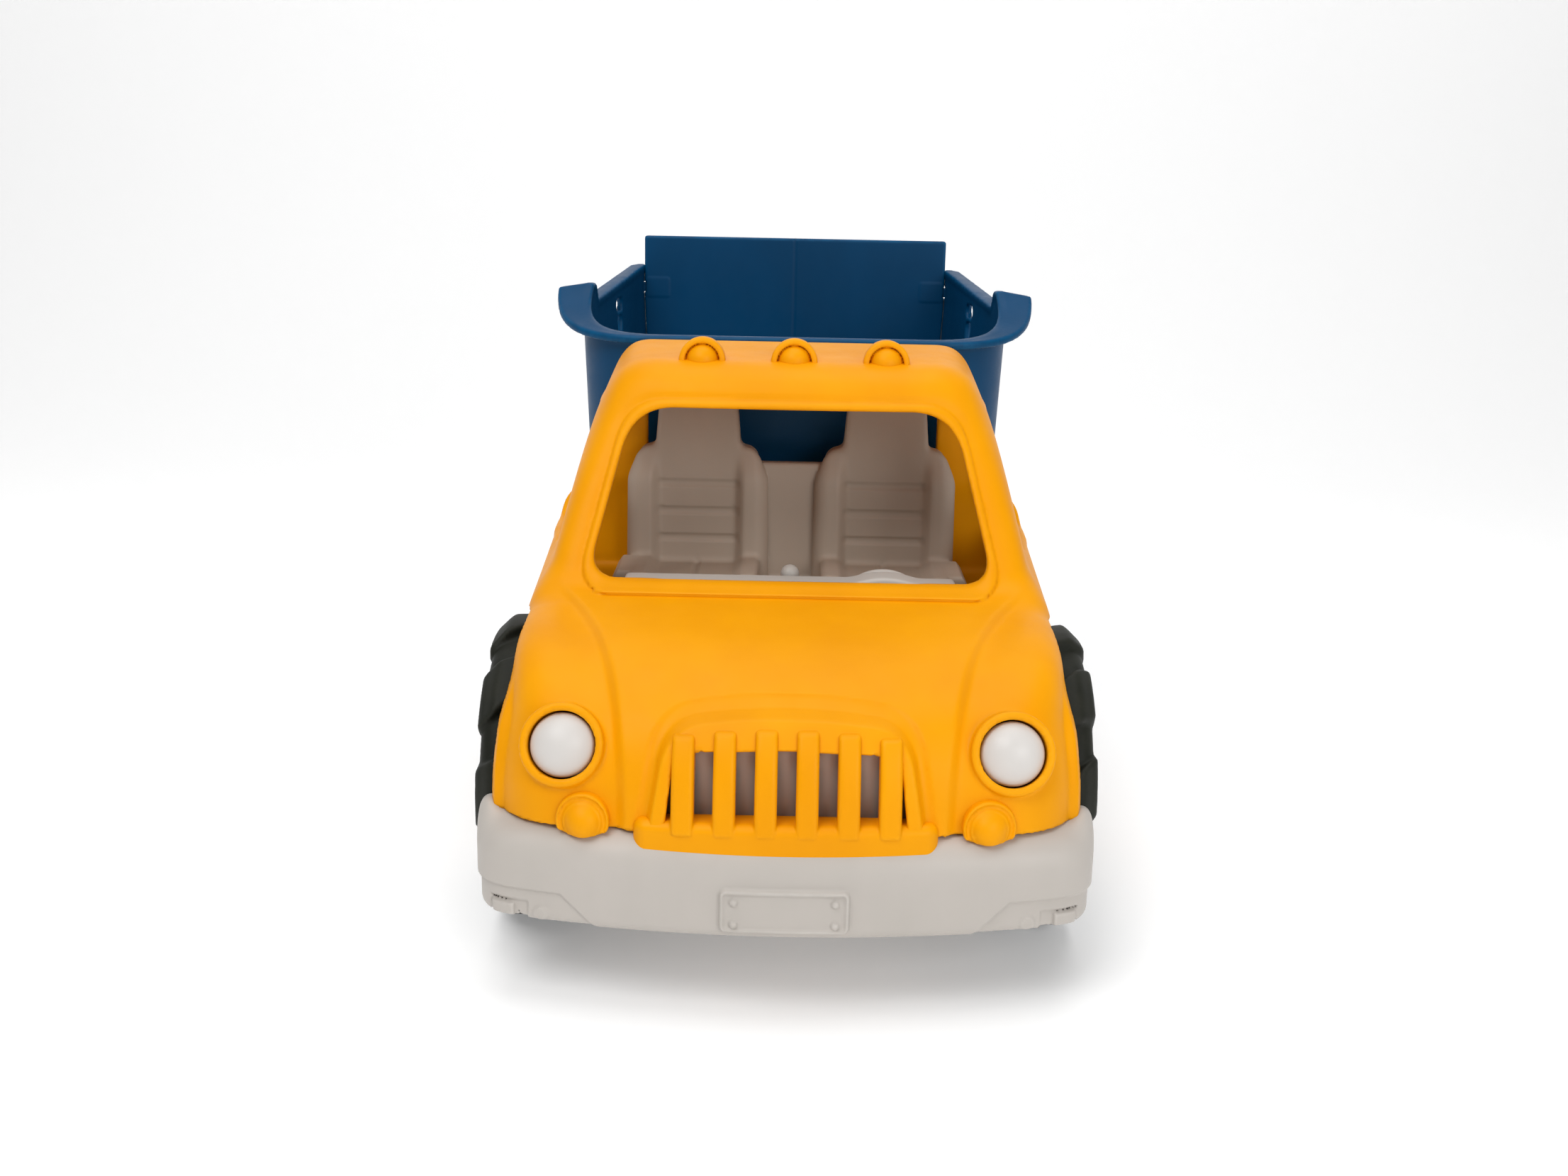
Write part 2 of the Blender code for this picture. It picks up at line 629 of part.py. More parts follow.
def steering_wheel(grey):
    """A three-spoke wheel that turns on the dashboard's stub."""
    ring = arc((0.0055, STEER_RIM_RADIUS), 0.0017, 0, 360, 6)[:-1]
    made = steering_part("steering_wheel", ring, 28, grey)
    bore = 0.0018 + GAP
    hub = [(GAP, bore), (GAP, 0.0045), (0.0065, 0.0045), (0.0075, 0.0030), (0.0075, 0)]
    hub += [(0.0051, 0), (0.0051, bore)]
    join(made, steering_part("hub", hub))
    for angle in (90, 210, 330):
        spoke = box("spoke", (0.0035, -0.0016, 0.0042), (0.0133, 0.0016, 0.0066))
        spoke.data.transform(steering_place() @ Matrix.Rotation(math.radians(angle), 4, "Z"))
        join(made, spoke)
    put_origin(made, (STEER_X, aft(STEER_AFT), STEER_Z))
    return finish_shading(made)


def gear_lever(grey):
    """A ball-topped stick pressed into the console."""
    ball, base, top = 0.0035, 0.0925, 0.1122
    stick = 0.0014
    lower = math.asin(stick / ball)
    profile = [(base, 0), (base, stick)]
    for k in range(9):
        a = -math.pi / 2 + lower + (math.pi - lower) * k / 8
        profile.append((top + ball * math.sin(a), max(0.0, ball * math.cos(a))))
    return finish_shading(turned("gear_lever", profile, (0, aft(LEVER_AFT), 0), "Z", 20, grey), 50)


# Wheels


def lug(angle, side, shoulder):
    """One tread block: a slanted wedge across half the tyre, wrapping over the shoulder."""
    inner_radius = WHEEL_RADIUS - TREAD_DEPTH - 0.0015
    width = math.radians(11)
    skew = math.radians(9)
    middle, edge = side * -0.0015, side * (TYRE_WIDTH / 2 - 0.0006)
    rows = []
    stations = [(middle, WHEEL_RADIUS, skew), (edge * 0.72, WHEEL_RADIUS, 0.0)]
    stations.append((edge, WHEEL_RADIUS - 0.0050, -skew * 0.3))
    for x, outer, offset in stations:
        row = []
        corners = ((-width, inner_radius), (-width * 0.8, outer), (width * 0.8, outer), (width, inner_radius))
        for a, radius in corners:
            total = angle + a + offset
            row.append(Vector((x + shoulder, radius * math.sin(total), radius * math.cos(total))))
        rows.append(row)
    rows.append([Vector((edge + shoulder, p.y * LUG_FOOT, p.z * LUG_FOOT)) for p in rows[-1]])
    return loft("lug", rows)


def tyre(name, side, distance, black):
    """A hollow ring, open on its inner side, with two staggered rows of chunky lugs."""
    half = TYRE_WIDTH / 2
    face = half - 0.0012
    base = WHEEL_RADIUS - TREAD_DEPTH
    bore = RIM_RADIUS + GAP
    profile = [(-face, bore), (-face, bore + TYRE_WALL), (face - TYRE_WALL, bore + TYRE_WALL)]
    profile += [(face - TYRE_WALL, 0.0400), (half - 0.0105, TYRE_CAVITY), (-face, TYRE_CAVITY)]
    profile += [(-half + 0.003, base - 0.004), (-half + 0.009, base), (half - 0.009, base)]
    profile += [(half - 0.003, base - 0.004), (face, 0.0400), (face, bore)]
    made = turned(name, profile, (0, 0, 0), "X", 32, black)
    for k in range(LUG_COUNT):
        angle = 2 * math.pi * k / LUG_COUNT
        join(made, lug(angle, 1, 0.0), lug(angle + math.pi / LUG_COUNT, -1, 0.0))
    if side < 0:
        made.data.transform(Matrix.Rotation(math.pi, 4, "Z"))
    made.location = (side * (HALF_WIDTH - half), aft(distance), WHEEL_RADIUS)
    finish_shading(made, 28)
    split_faces(made)
    return made


def rim(name, side, distance, grey):
    """A dished wheel centre with six round holes and a bored hub."""
    depth = TYRE_WIDTH / 2 - 0.003
    bore = AXLE_RADIUS + GAP
    profile = [(-depth, bore), (-depth, 0.0080), (0.002, 0.0080), (0.002, RIM_RADIUS - 0.003)]
    profile += [(-depth, RIM_RADIUS - 0.003), (-depth, RIM_RADIUS)]
    profile += [(depth, RIM_RADIUS), (depth, RIM_RADIUS - 0.003)]
    profile += [(0.006, RIM_RADIUS - 0.006), (0.006, 0.0095), (0.010, 0.0085), (0.010, bore)]
    made = turned(name, profile, (0, 0, 0), "X", 28, grey)
    for k in range(6):
        angle = 2 * math.pi * k / 6
        place = (0.0162 * math.sin(angle), 0.0162 * math.cos(angle))
        cut(made, rod("rim_hole", "X", place, 0.0038, -0.01, 0.02, 10))
    if side < 0:
        made.data.transform(Matrix.Rotation(math.pi, 4, "Z"))
    made.location = (side * (HALF_WIDTH - TYRE_WIDTH / 2), aft(distance), WHEEL_RADIUS)
    return finish_shading(made)


def hub_cap(name, side, distance, grey):
    """A domed cap pushed over the end of the axle."""
    start = HALF_WIDTH - TYRE_WIDTH / 2 + 0.010 + GAP
    end = start + 0.0055
    socket = AXLE_HALF_LENGTH + GAP
    bore = AXLE_RADIUS + GAP
    profile = [(start, bore), (start, 0.0075), (start + 0.0025, 0.0075), (end - 0.0007, 0.0055)]
    profile += [(end, 0.0032), (end, 0), (socket, 0), (socket, bore)]
    made = turned(name, [(side * x, r) for x, r in profile], (0, aft(distance), WHEEL_RADIUS), "X", 24, grey)
    return finish_shading(made)


# Bed


def bed_path():
    """Stations along the bed's wall, from the rear left corner round the front to the rear right.

    Each is (x, y, outward x, outward y, share of the way from the middle of the front to the rear).
    """
    corner = BED_CORNER
    front_y = aft(BED_FRONT)
    lean = (BED_HALF_FRONT - BED_HALF_REAR) / (BED_REAR - BED_FRONT - corner)
    turn = math.degrees(math.atan(lean))
    centre = (BED_HALF_FRONT - corner, front_y + corner)
    half = [(x, front_y, 0.0, -1.0) for x in (0.0, 0.016, 0.032)]
    for k in range(9):
        a = math.radians(-90 + (90 + turn) * k / 8)
        out_x, out_y = math.cos(a), math.sin(a)
        half.append((centre[0] + corner * out_x, centre[1] + corner * out_y, out_x, out_y))
    last = half[-1]
    for share in (0.04, 0.10, 0.5, 0.80, 1.0):
        x = last[0] + (BED_HALF_REAR - last[0]) * share
        y = last[1] + (aft(BED_REAR + TAILGATE_THICKNESS) - last[1]) * share
        half.append((x, y, last[2], last[3]))
    left = [(-x, y, -ox, oy) for x, y, ox, oy in reversed(half[1:])]
    return left + half


def rim_height(x, y):
    """Height of the bed's top edge: low across the front, up to the ears, then along the side rails."""
    behind = y - aft(BED_FRONT)
    if behind > 0.050:
        return BED_RAIL_FRONT + (BED_RAIL_REAR - BED_RAIL_FRONT) * (behind - 0.050) / 0.085
    if behind > 0.042:
        return BED_RAIL_FRONT + (BED_EAR_TOP - BED_RAIL_FRONT) * (0.050 - behind) / 0.008
    return BED_RIM + (BED_EAR_TOP - BED_RIM) * smooth_step(abs(x), 0.045, 0.0862)


def bed_wall(blue):
    """The U-shaped wall: a sweep of one section, flanged outwards at the top."""
    rings = []
    for x, y, ox, oy in bed_path():
        top = rim_height(x, y)
        behind = y - aft(BED_FRONT)
        ear = smooth_step(abs(x), 0.055, 0.086) * (1 - smooth_step(behind, 0.040, 0.048))
        flange = 0.0045 + 0.0045 * ear
        taper = 0.0035
        foot = BED_FLOOR_BOTTOM + 0.001
        section = [(-taper, foot), (0.0, top - 0.004), (flange, top - 0.003 + 0.001 * ear)]
        section += [(flange, top - 0.0005), (flange - 0.001, top), (-WALL, top), (-WALL - taper, foot)]
        rings.append([Vector((x + ox * out, y + oy * out, z)) for out, z in section])
    return loft("dump_bed", rings, blue)


def bed_floor():
    """The floor slab, whose outline follows the wall's foot."""
    inset = 0.0040
    outline = [(x - ox * inset, y - oy * inset) for x, y, ox, oy in bed_path()]
    last_y = aft(BED_REAR) - GAP
    outline = [(x, min(y, last_y)) for x, y in outline]
    return prism("bed_floor", outline, "Z", BED_FLOOR_BOTTOM, BED_FLOOR_BOTTOM + 0.003)


def bed_rails():
    """Two long ribs under the floor that rest on the deck, each ending in a lug for the hinge pin."""
    rest = DECK_TOP + GAP
    rails = []
    for side in (-1, 1):
        inner, outer = side * 0.0355, side * 0.0400
        outline = [(aft(0.2150), BED_FLOOR_BOTTOM + 0.001), (aft(0.2150), rest), (aft(0.2980), rest)]
        outline += arc((aft(TIP_AFT), TIP_Z), 0.0075, -80, 0, 6)
        outline += [(aft(TIP_AFT) + 0.0075, BED_FLOOR_BOTTOM + 0.001)]
        rails.append(prism("rail", outline, "X", min(inner, outer), max(inner, outer)))
    return rails


def dump_bed(blue):
    """The blue tub: flanged wall, floor, rails, two slots in each side and the tailgate's pin holes."""
    made = join(bed_wall(blue), bed_floor(), *bed_rails())
    for low, high in ((0.1740, 0.1925), (0.1945, 0.2000)):
        front, rear = aft(0.284), aft(0.296)
        slot = rounded([(front, low), (rear, low), (rear, high), (front, high)], 0.0025, 3)
        cut(made, prism("side_slots", slot, "X", -0.1, 0.1))
    cut(made, rod("tip_hole", "X", (aft(TIP_AFT), TIP_Z), TIP_PIN_RADIUS + GAP, -0.06, 0.06, 24))
    gate_y = aft(BED_REAR) + TAILGATE_THICKNESS / 2
    for side in (-1, 1):
        low, high = sorted((side * 0.0716, side * 0.0765))
        join(made, rod("gate_boss", "X", (gate_y - 0.0015, GATE_PIN_Z), 0.0050, low, high, 20))
        low, high = sorted((side * 0.060, side * 0.090))
        cut(made, rod("gate_hole", "X", (gate_y, GATE_PIN_Z), GATE_PIN_RADIUS + GAP, low, high, 20))
    for side in (-1, 1):
        for distance in (0.2500, 0.2720, 0.3150):
            share = (distance - 0.2445) / 0.096
            x = BED_HALF_FRONT - 0.0006 - (BED_HALF_FRONT - BED_HALF_REAR) * share
            low, high = sorted((side * (x - 0.0028), side * (x + 0.0016)))
            join(made, box("rib", (low, aft(distance) - 0.003, 0.120), (high, aft(distance) + 0.003, 0.188)))
    put_origin(made, (0, aft(TIP_AFT), TIP_Z))
    return finish_shading(made)


def tailgate(blue):
    """A flat door hung by its upper corners, a little higher than the side rails."""
    gate_y = aft(BED_REAR)
    foot = TAILGATE_HALF - 0.0030
    right = [(foot, BED_FLOOR_BOTTOM), (TAILGATE_HALF, GATE_PIN_Z), (TAILGATE_HALF, TAILGATE_TOP)]
    outline = right + [(-x, z) for x, z in reversed(right)]
    made = prism("tailgate", outline, "Y", gate_y, gate_y + TAILGATE_THICKNESS, blue)
    middle = gate_y + TAILGATE_THICKNESS / 2
    for side in (-1, 1):
        span = sorted((side * 0.0600, side * (TAILGATE_HALF)))
        join(made, rod("pivot_boss", "X", (middle, GATE_PIN_Z), 0.0045, *span, 20))
        span = sorted((side * 0.0622, side * 0.08))
        cut(made, rod("pivot_hole", "X", (middle, GATE_PIN_Z), GATE_PIN_RADIUS + GAP, *span, 20))
    for z in (0.120, 0.157, 0.194):
        rib_low = (-0.052, gate_y + TAILGATE_THICKNESS - 0.0005, z)
        join(made, box("gate_rib", rib_low, (0.052, aft(LENGTH), z + 0.0035)))
    put_origin(made, (0, middle, GATE_PIN_Z))
    return finish_shading(made)


def gate_pin(name, side, blue):
    """A headed pin through the bed's wall into the end of the tailgate."""
    start, end = 0.0625, 0.0768 + GAP
    profile = [(start, 0), (start, GATE_PIN_RADIUS), (end, GATE_PIN_RADIUS), (end, 0.0036)]
    profile += [(end + 0.0015, 0.0032), (end + 0.0015, 0)]
    centre = (0, aft(BED_REAR) + TAILGATE_THICKNESS / 2, GATE_PIN_Z)
    return finish_shading(turned(name, [(side * x, r) for x, r in profile], centre, "X", 20, blue))


def build():
    for stale in list(bpy.data.objects):
        bpy.data.objects.remove(stale)
    orange = plastic("orange_plastic", (0.90, 0.36, 0.008), 0.42)
    blue = plastic("blue_plastic", (0.008, 0.13, 0.34), 0.40)
    grey = plastic("grey_plastic", (0.60, 0.565, 0.52), 0.42)
    black = plastic("black_rubber", (0.022, 0.023, 0.018), 0.60)
    steel = plastic("steel", (0.55, 0.55, 0.56), 0.30, 1.0)

    chassis(grey)
    underbody_cover(grey)
    for k, (x, distance) in enumerate(COVER_SCREWS, 1):
        screw(f"cover_screw_{k}", x, distance, FRAME_BOTTOM + 0.0002, 0.0200, steel)
    for k, (x, distance) in enumerate(CAB_SCREWS, 1):
        screw(f"cab_screw_{k}", x, distance, DECK_TOP - WALL - GAP - 0.0017, 0.0140, steel)
    cab_shell(orange)
    headlamp("headlamp_right", -1, grey)
    headlamp("headlamp_left", 1, grey)
    seat_unit(grey)
    dashboard(grey)
    steering_wheel(grey)
    gear_lever(grey)
    for place, distance in (("front", FRONT_AXLE), ("rear", REAR_AXLE)):
        span = (-AXLE_HALF_LENGTH, AXLE_HALF_LENGTH)
        axle = rod(f"{place}_axle", "X", (aft(distance), WHEEL_RADIUS), AXLE_RADIUS, *span, 24, steel)
        finish_shading(put_origin(axle, (0, aft(distance), WHEEL_RADIUS)))
        for hand, side in (("right", -1), ("left", 1)):
            tyre(f"{place}_tyre_{hand}", side, distance, black)
            rim(f"{place}_rim_{hand}", side, distance, grey)
            hub_cap(f"{place}_hub_cap_{hand}", side, distance, grey)
    dump_bed(blue)
    tailgate(blue)
    gate_pin("tailgate_pin_right", -1, blue)
    gate_pin("tailgate_pin_left", 1, blue)
    hinge = rod("bed_hinge_pin", "X", (aft(TIP_AFT), TIP_Z), TIP_PIN_RADIUS, -0.0490, 0.0490, 24, steel)
    finish_shading(put_origin(hinge, (0, aft(TIP_AFT), TIP_Z)))


build()
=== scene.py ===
"""The looks of the toy dump truck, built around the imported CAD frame.

Most pieces are shapes given as distance fields, meshed finely so that moulded edges come out soft.
Field lengths are millimetres: x across, y behind the nose, z above the floor, and a is the distance from the
middle plane. Meshes are turned into metres in the row frame when they are added.
"""

import json
import math

import bpy
import numpy as np
from mathutils import Matrix, Vector

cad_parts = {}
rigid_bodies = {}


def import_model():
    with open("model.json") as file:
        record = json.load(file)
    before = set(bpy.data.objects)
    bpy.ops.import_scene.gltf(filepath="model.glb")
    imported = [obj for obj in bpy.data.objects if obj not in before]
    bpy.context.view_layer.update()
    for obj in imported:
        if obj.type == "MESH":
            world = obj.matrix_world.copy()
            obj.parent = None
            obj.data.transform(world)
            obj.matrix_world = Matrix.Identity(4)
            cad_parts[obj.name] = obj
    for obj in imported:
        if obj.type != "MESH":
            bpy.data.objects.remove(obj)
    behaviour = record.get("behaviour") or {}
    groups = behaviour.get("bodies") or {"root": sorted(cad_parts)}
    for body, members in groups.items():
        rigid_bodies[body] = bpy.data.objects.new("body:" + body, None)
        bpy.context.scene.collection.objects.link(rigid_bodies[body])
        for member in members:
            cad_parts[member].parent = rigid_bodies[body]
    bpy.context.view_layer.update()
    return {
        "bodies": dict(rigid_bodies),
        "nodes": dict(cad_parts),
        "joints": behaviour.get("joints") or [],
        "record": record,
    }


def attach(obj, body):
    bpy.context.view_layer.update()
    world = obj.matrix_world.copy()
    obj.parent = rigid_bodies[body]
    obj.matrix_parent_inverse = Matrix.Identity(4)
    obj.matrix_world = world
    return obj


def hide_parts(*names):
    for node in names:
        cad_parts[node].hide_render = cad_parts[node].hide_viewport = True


MM = 0.001
NOSE = -0.1725  # Y of the nose in the row frame

SLAT_PITCH = 12.85  # across, between the grille's slats
SLAT_FIRST = 6.4  # from the middle plane to the first slat
FRONT_AXLE = 88.0
REAR_AXLE = 258.0
AXLE_HEIGHT = 53.0
WHEEL_MIDDLE = 83.5  # distance of each wheel's own middle from the truck's

AXLE_BORE = 2.8  # radius, also of the bed's hinge
BED_AXIS = (312.0, 90.0)  # y and z of the bed's hinge pin
GATE_AXIS = (339.0, 202.0)  # y and z of the tailgate's pins
GATE_BORE = 2.3
LEVER_Y = 136.0
LAMP_MIDDLE = (70.5, 19.5, 84.5)  # a, y and z of each headlamp
LAMP_NORMAL = (0.02, -math.cos(math.radians(20)), math.sin(math.radians(20)))
STEER_MIDDLE = (34.0, 121.5, 102.0)  # where the steering column leaves the dashboard
STEER_RAKE = math.radians(25)

CAB_REAR = 197.0
CAB_WALL = 2.6
CAB_FOOT = 59.6  # height of the cab's lower edge
ARCH_RADIUS = 55.5
DECK = 72.3  # height at which the seats' floor and the cab's bosses rest on the frame
BUMPER_HALF = 99.0
BUMPER_TOP = 59.5
BUMPER_FOOT = 28.5
BUMPER_BACK = 36.0
BED_FRONT = 204.5
BED_FLOOR = 112.0  # height of the floor's underside
BED_WALL = 2.8
CORNER_MIDDLE = (48.2, 244.5)  # a and y of the middle of the bed's round front corner
PLATE_MIDDLE = 37.5  # height of the number plate's middle
SEAT_MIDDLE = 37.0  # distance of each seat's middle from the truck's
TYRE_HALF = 17.8
TREAD_RADIUS = 53.0
LUGS = 9

# name: colour, its flow marks' shade, rubbed edges with a painted edge highlight, roughness and, for some,
# specular level
PLASTICS = {
    "orange_plastic": ((0.80, 0.32, 0.0), (0.75, 0.285, 0.0), (0.90, 0.42, 0.01), 0.42, 0.10),
    # the blue's edge colour is far lighter than its body: mostly a painted highlight along the bed's rim
    "blue_plastic": ((0.0, 0.050, 0.135), (0.0, 0.043, 0.115), (0.0, 0.18, 0.40), 0.42, 0.15),
    "grey_plastic": ((0.46, 0.425, 0.39), (0.43, 0.40, 0.365), (0.60, 0.57, 0.53), 0.45),
    # the seats' plastic is the grey made darker and browner: painted shade and painted orange bounce light
    # from the cab's walls
    "seat_plastic": ((0.44, 0.36, 0.29), (0.41, 0.335, 0.265), (0.55, 0.48, 0.40), 0.5),
    "lamp_plastic": ((0.60, 0.575, 0.55), (0.57, 0.545, 0.52), (0.68, 0.66, 0.63), 0.35),
}
GREY_SHADES = {"seat_plastic": "grey_plastic", "lamp_plastic": "grey_plastic"}  # slots of the other greys

# Fields ---------------------------------------------------------------------


def ease(v, low, high):
    t = np.clip((v - low) / (high - low), 0.0, 1.0)
    return t * t * (3 - 2 * t)


def smax(a, b, k):
    """The larger of two fields, with their edge rounded over about k."""
    h = np.maximum(k - np.abs(a - b), 0.0)
    return np.maximum(a, b) + h * h / (4 * k)


def smin(a, b, k):
    return -smax(-a, -b, k)


def solid(a, b, radius):
    """Where both fields are inside, with their shared edge rounded to radius."""
    a, b = a + radius, b + radius
    return np.minimum(np.maximum(a, b), 0.0) + np.hypot(np.maximum(a, 0.0), np.maximum(b, 0.0)) - radius


def slab(v, low, high):
    return np.maximum(low - v, v - high)


def block(x, y, z, low, high, radius):
    """A box with rounded edges."""
    flat = solid(slab(x, low[0], high[0]), slab(y, low[1], high[1]), radius)
    return solid(flat, slab(z, low[2], high[2]), radius)


def from_axis(y, z, axis):
    """Distance from an axis that runs across the truck."""
    return np.hypot(y - axis[0], z - axis[1])


def ridge(v, middle, half, height):
    """A half-round ridge's height, as v crosses its middle."""
    return height * np.sqrt(np.clip(1 - ((v - middle) / half) ** 2, 0.0, 1.0))


# Meshing --------------------------------------------------------------------


def grid_values(field, axes, step):
    """The field on a grid, worked out closely only in the blocks that its surface can reach."""
    size = 4
    middles = [axis[0] + step * (size * np.arange(-(-len(axis) // size)) + (size - 1) / 2) for axis in axes]
    mesh = np.meshgrid(*middles, indexing="ij")
    rough = field(*(m.ravel() for m in mesh)).reshape(mesh[0].shape)
    near = np.abs(rough) < step * size * 1.15 + 1.0

    def spread(values):
        for axis in range(3):
            values = values.repeat(size, axis)
        return values[: len(axes[0]), : len(axes[1]), : len(axes[2])]

    values = spread(rough).copy()
    at = np.nonzero(spread(near))
    values[at] = field(axes[0][at[0]], axes[1][at[1]], axes[2][at[2]])
    return values


def surface(field, low, high, step):
    """Points and quads of the field's zero level."""
    axes = [np.arange(lo - 1.6 * step, hi + 2.6 * step, step) for lo, hi in zip(low, high)]
    values = grid_values(field, axes, step)
    inside = values < 0
    strides = np.array([values.shape[1] * values.shape[2], values.shape[2], 1])
    unit = np.eye(3, dtype=np.int64)
    corners, places, quads = [], [], []
    for axis in range(3):
        before = tuple(slice(None, -1) if k == axis else slice(None) for k in range(3))
        after = tuple(slice(1, None) if k == axis else slice(None) for k in range(3))
        at = np.argwhere(inside[before] != inside[after])
        first = values[tuple(at.T)]
        second = values[tuple((at + unit[axis]).T)]
        crossing = at + (first / (first - second))[:, None] * unit[axis]
        side, up = unit[(axis + 1) % 3], unit[(axis + 2) % 3]
        around = np.stack([(at - shift) @ strides for shift in (0 * side, side, side + up, up)], axis=1)
        quads.append(np.where((first < 0)[:, None], around, around[:, ::-1]))
        corners.append(around.ravel())
        places.append(crossing.repeat(4, axis=0))
    cells, which = np.unique(np.concatenate(corners), return_inverse=True)
    places = np.concatenate(places)
    count = np.bincount(which)
    points = np.stack([np.bincount(which, places[:, k]) / count for k in range(3)], axis=1)
    points = points * step + np.array([axis[0] for axis in axes])
    quads = np.searchsorted(cells, np.concatenate(quads))
    return settle(points, field, step), quads


def settle(points, field, step):
    """Moves points along the field's slope onto its zero level."""
    probe = 0.04 * step
    for _ in range(2):
        here = field(*points.T)
        slope = np.stack([(field(*(points + probe * unit).T) - here) / probe for unit in np.eye(3)], axis=1)
        shift = slope * (here / np.maximum((slope**2).sum(axis=1), 0.3))[:, None]
        far = np.linalg.norm(shift, axis=1)
        points = points - shift * np.minimum(1.0, 0.45 * step / np.maximum(far, 1e-9))[:, None]
    return points


def add_mesh(name, points, quads, material):
    """A smooth-shaded mesh in metres from points in millimetres."""
    mesh = bpy.data.meshes.new(name)
    mesh.vertices.add(len(points))
    mesh.vertices.foreach_set("co", (points * MM + (0, NOSE, 0)).astype(np.float32).ravel())
    mesh.loops.add(quads.size)
    mesh.loops.foreach_set("vertex_index", quads.astype(np.int32).ravel())
    mesh.polygons.add(len(quads))
    mesh.polygons.foreach_set("loop_start", np.arange(0, quads.size, 4, dtype=np.int32))
    mesh.update(calc_edges=True)
    mesh.validate()
    mesh.shade_smooth()
    mesh.materials.append(material)
    made = bpy.data.objects.new(name, mesh)
    bpy.context.scene.collection.objects.link(made)
    return made


def piece(name, field, low, high, step, body, material, *nodes):
    """Meshes a field, and lets it ride on a body in place of CAD nodes."""
    points, quads = surface(field, low, high, step)
    return dress(add_mesh(name, points, quads, material), body, material, *nodes)


def dress(made, body, material, *nodes):
    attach(made, body)
    GREY_SHADES.get(material.name, material.name)
    if nodes:
        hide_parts(*nodes)
    return made


# Materials ------------------------------------------------------------------


class Shader:
    """A node material, put together step by step."""

    def __init__(self, name):
        self.material = bpy.data.materials.new(name)
        self.material.use_nodes = True
        self.tree = self.material.node_tree
        self.shader = self.tree.nodes["Principled BSDF"]
        coordinates = self.tree.nodes.new("ShaderNodeTexCoord")
        self.place = coordinates.outputs["Object"]

    def noise(self, scale, detail=2.0, roughness=0.5, stretch=None):
        node = self.tree.nodes.new("ShaderNodeTexNoise")
        node.inputs["Scale"].default_value = scale
        node.inputs["Detail"].default_value = detail
        node.inputs["Roughness"].default_value = roughness
        place = self.place
        if stretch:
            mapping = self.tree.nodes.new("ShaderNodeMapping")
            mapping.inputs["Scale"].default_value = stretch
            self.tree.links.new(place, mapping.inputs["Vector"])
            place = mapping.outputs["Vector"]
        self.tree.links.new(place, node.inputs["Vector"])
        return node.outputs["Fac"]

    def ranged(self, value, low, high, to_low, to_high):
        node = self.tree.nodes.new("ShaderNodeMapRange")
        for name, number in (("From Min", low), ("From Max", high), ("To Min", to_low), ("To Max", to_high)):
            node.inputs[name].default_value = number
        self.tree.links.new(value, node.inputs["Value"])
        return node.outputs["Result"]

    def mix(self, share, first, second):
        node = self.tree.nodes.new("ShaderNodeMix")
        node.data_type = "RGBA"
        self.tree.links.new(share, node.inputs["Factor"])
        for socket, colour in ((node.inputs[6], first), (node.inputs[7], second)):
            if isinstance(colour, tuple):
                socket.default_value = (*colour, 1.0)
            else:
                self.tree.links.new(colour, socket)
        return node.outputs[2]

    def math(self, operation, first, second):
        node = self.tree.nodes.new("ShaderNodeMath")
        node.operation = operation
        for socket, value in zip(node.inputs, (first, second)):
            if isinstance(value, (int, float)):
                socket.default_value = value
            else:
                self.tree.links.new(value, socket)
        return node.outputs[0]

    def edges(self, low, high):
        """1 on convex edges, 0 elsewhere."""
        node = self.tree.nodes.new("ShaderNodeNewGeometry")
        return self.ranged(node.outputs["Pointiness"], low, high, 0.0, 1.0)

    def bump(self, height, strength, distance, under=None):
        node = self.tree.nodes.new("ShaderNodeBump")
        node.inputs["Strength"].default_value = strength
        node.inputs["Distance"].default_value = distance
        self.tree.links.new(height, node.inputs["Height"])
        if under is not None:
            self.tree.links.new(under, node.inputs["Normal"])
        return node.outputs["Normal"]

    def set(self, **inputs):
        for name, value in inputs.items():
            socket = self.shader.inputs[name.replace("_", " ")]
            if isinstance(value, (int, float)):
                socket.default_value = value
            elif isinstance(value, tuple):
                socket.default_value = (*value, 1.0) if socket.type == "RGBA" else value
            else:
                self.tree.links.new(value, socket)


def plastic(name, colour, shade, worn_and_painted_highlight, roughness, specular=0.3):
    """Satin moulded plastic: fine grain, faint flow marks, rubbed edges with a painted edge highlight and a
    few duller patches.
    """
    made = Shader(name)
    flow = made.noise(28.0, 3.0, 0.55, (1.0, 1.0, 0.45))
    grain = made.noise(1900.0, 2.0, 0.6)
    patches = made.noise(95.0, 4.0, 0.6)
    base = made.mix(made.ranged(flow, 0.35, 0.68, 0.0, 1.0), colour, shade)
    # convex edges lean towards the lighter edge colour: partly rubbed wear, partly a painted highlight
    rubbed_and_painted_highlight = made.math("MULTIPLY", made.edges(0.515, 0.60), made.ranged(patches, 0.38, 0.62, 0.25, 1.0))
    base = made.mix(made.math("MULTIPLY", rubbed_and_painted_highlight, 0.5), base, worn_and_painted_highlight)
    rough = made.ranged(patches, 0.3, 0.7, roughness - 0.04, roughness + 0.06)
    rough = made.math("ADD", rough, made.ranged(grain, 0.3, 0.7, -0.03, 0.03))
    relief = made.bump(grain, 0.22, 0.00006, made.bump(patches, 0.10, 0.0002))
    made.set(Base_Color=base, Roughness=rough, Normal=relief, IOR=1.49, Specular_IOR_Level=specular)
    return made.material


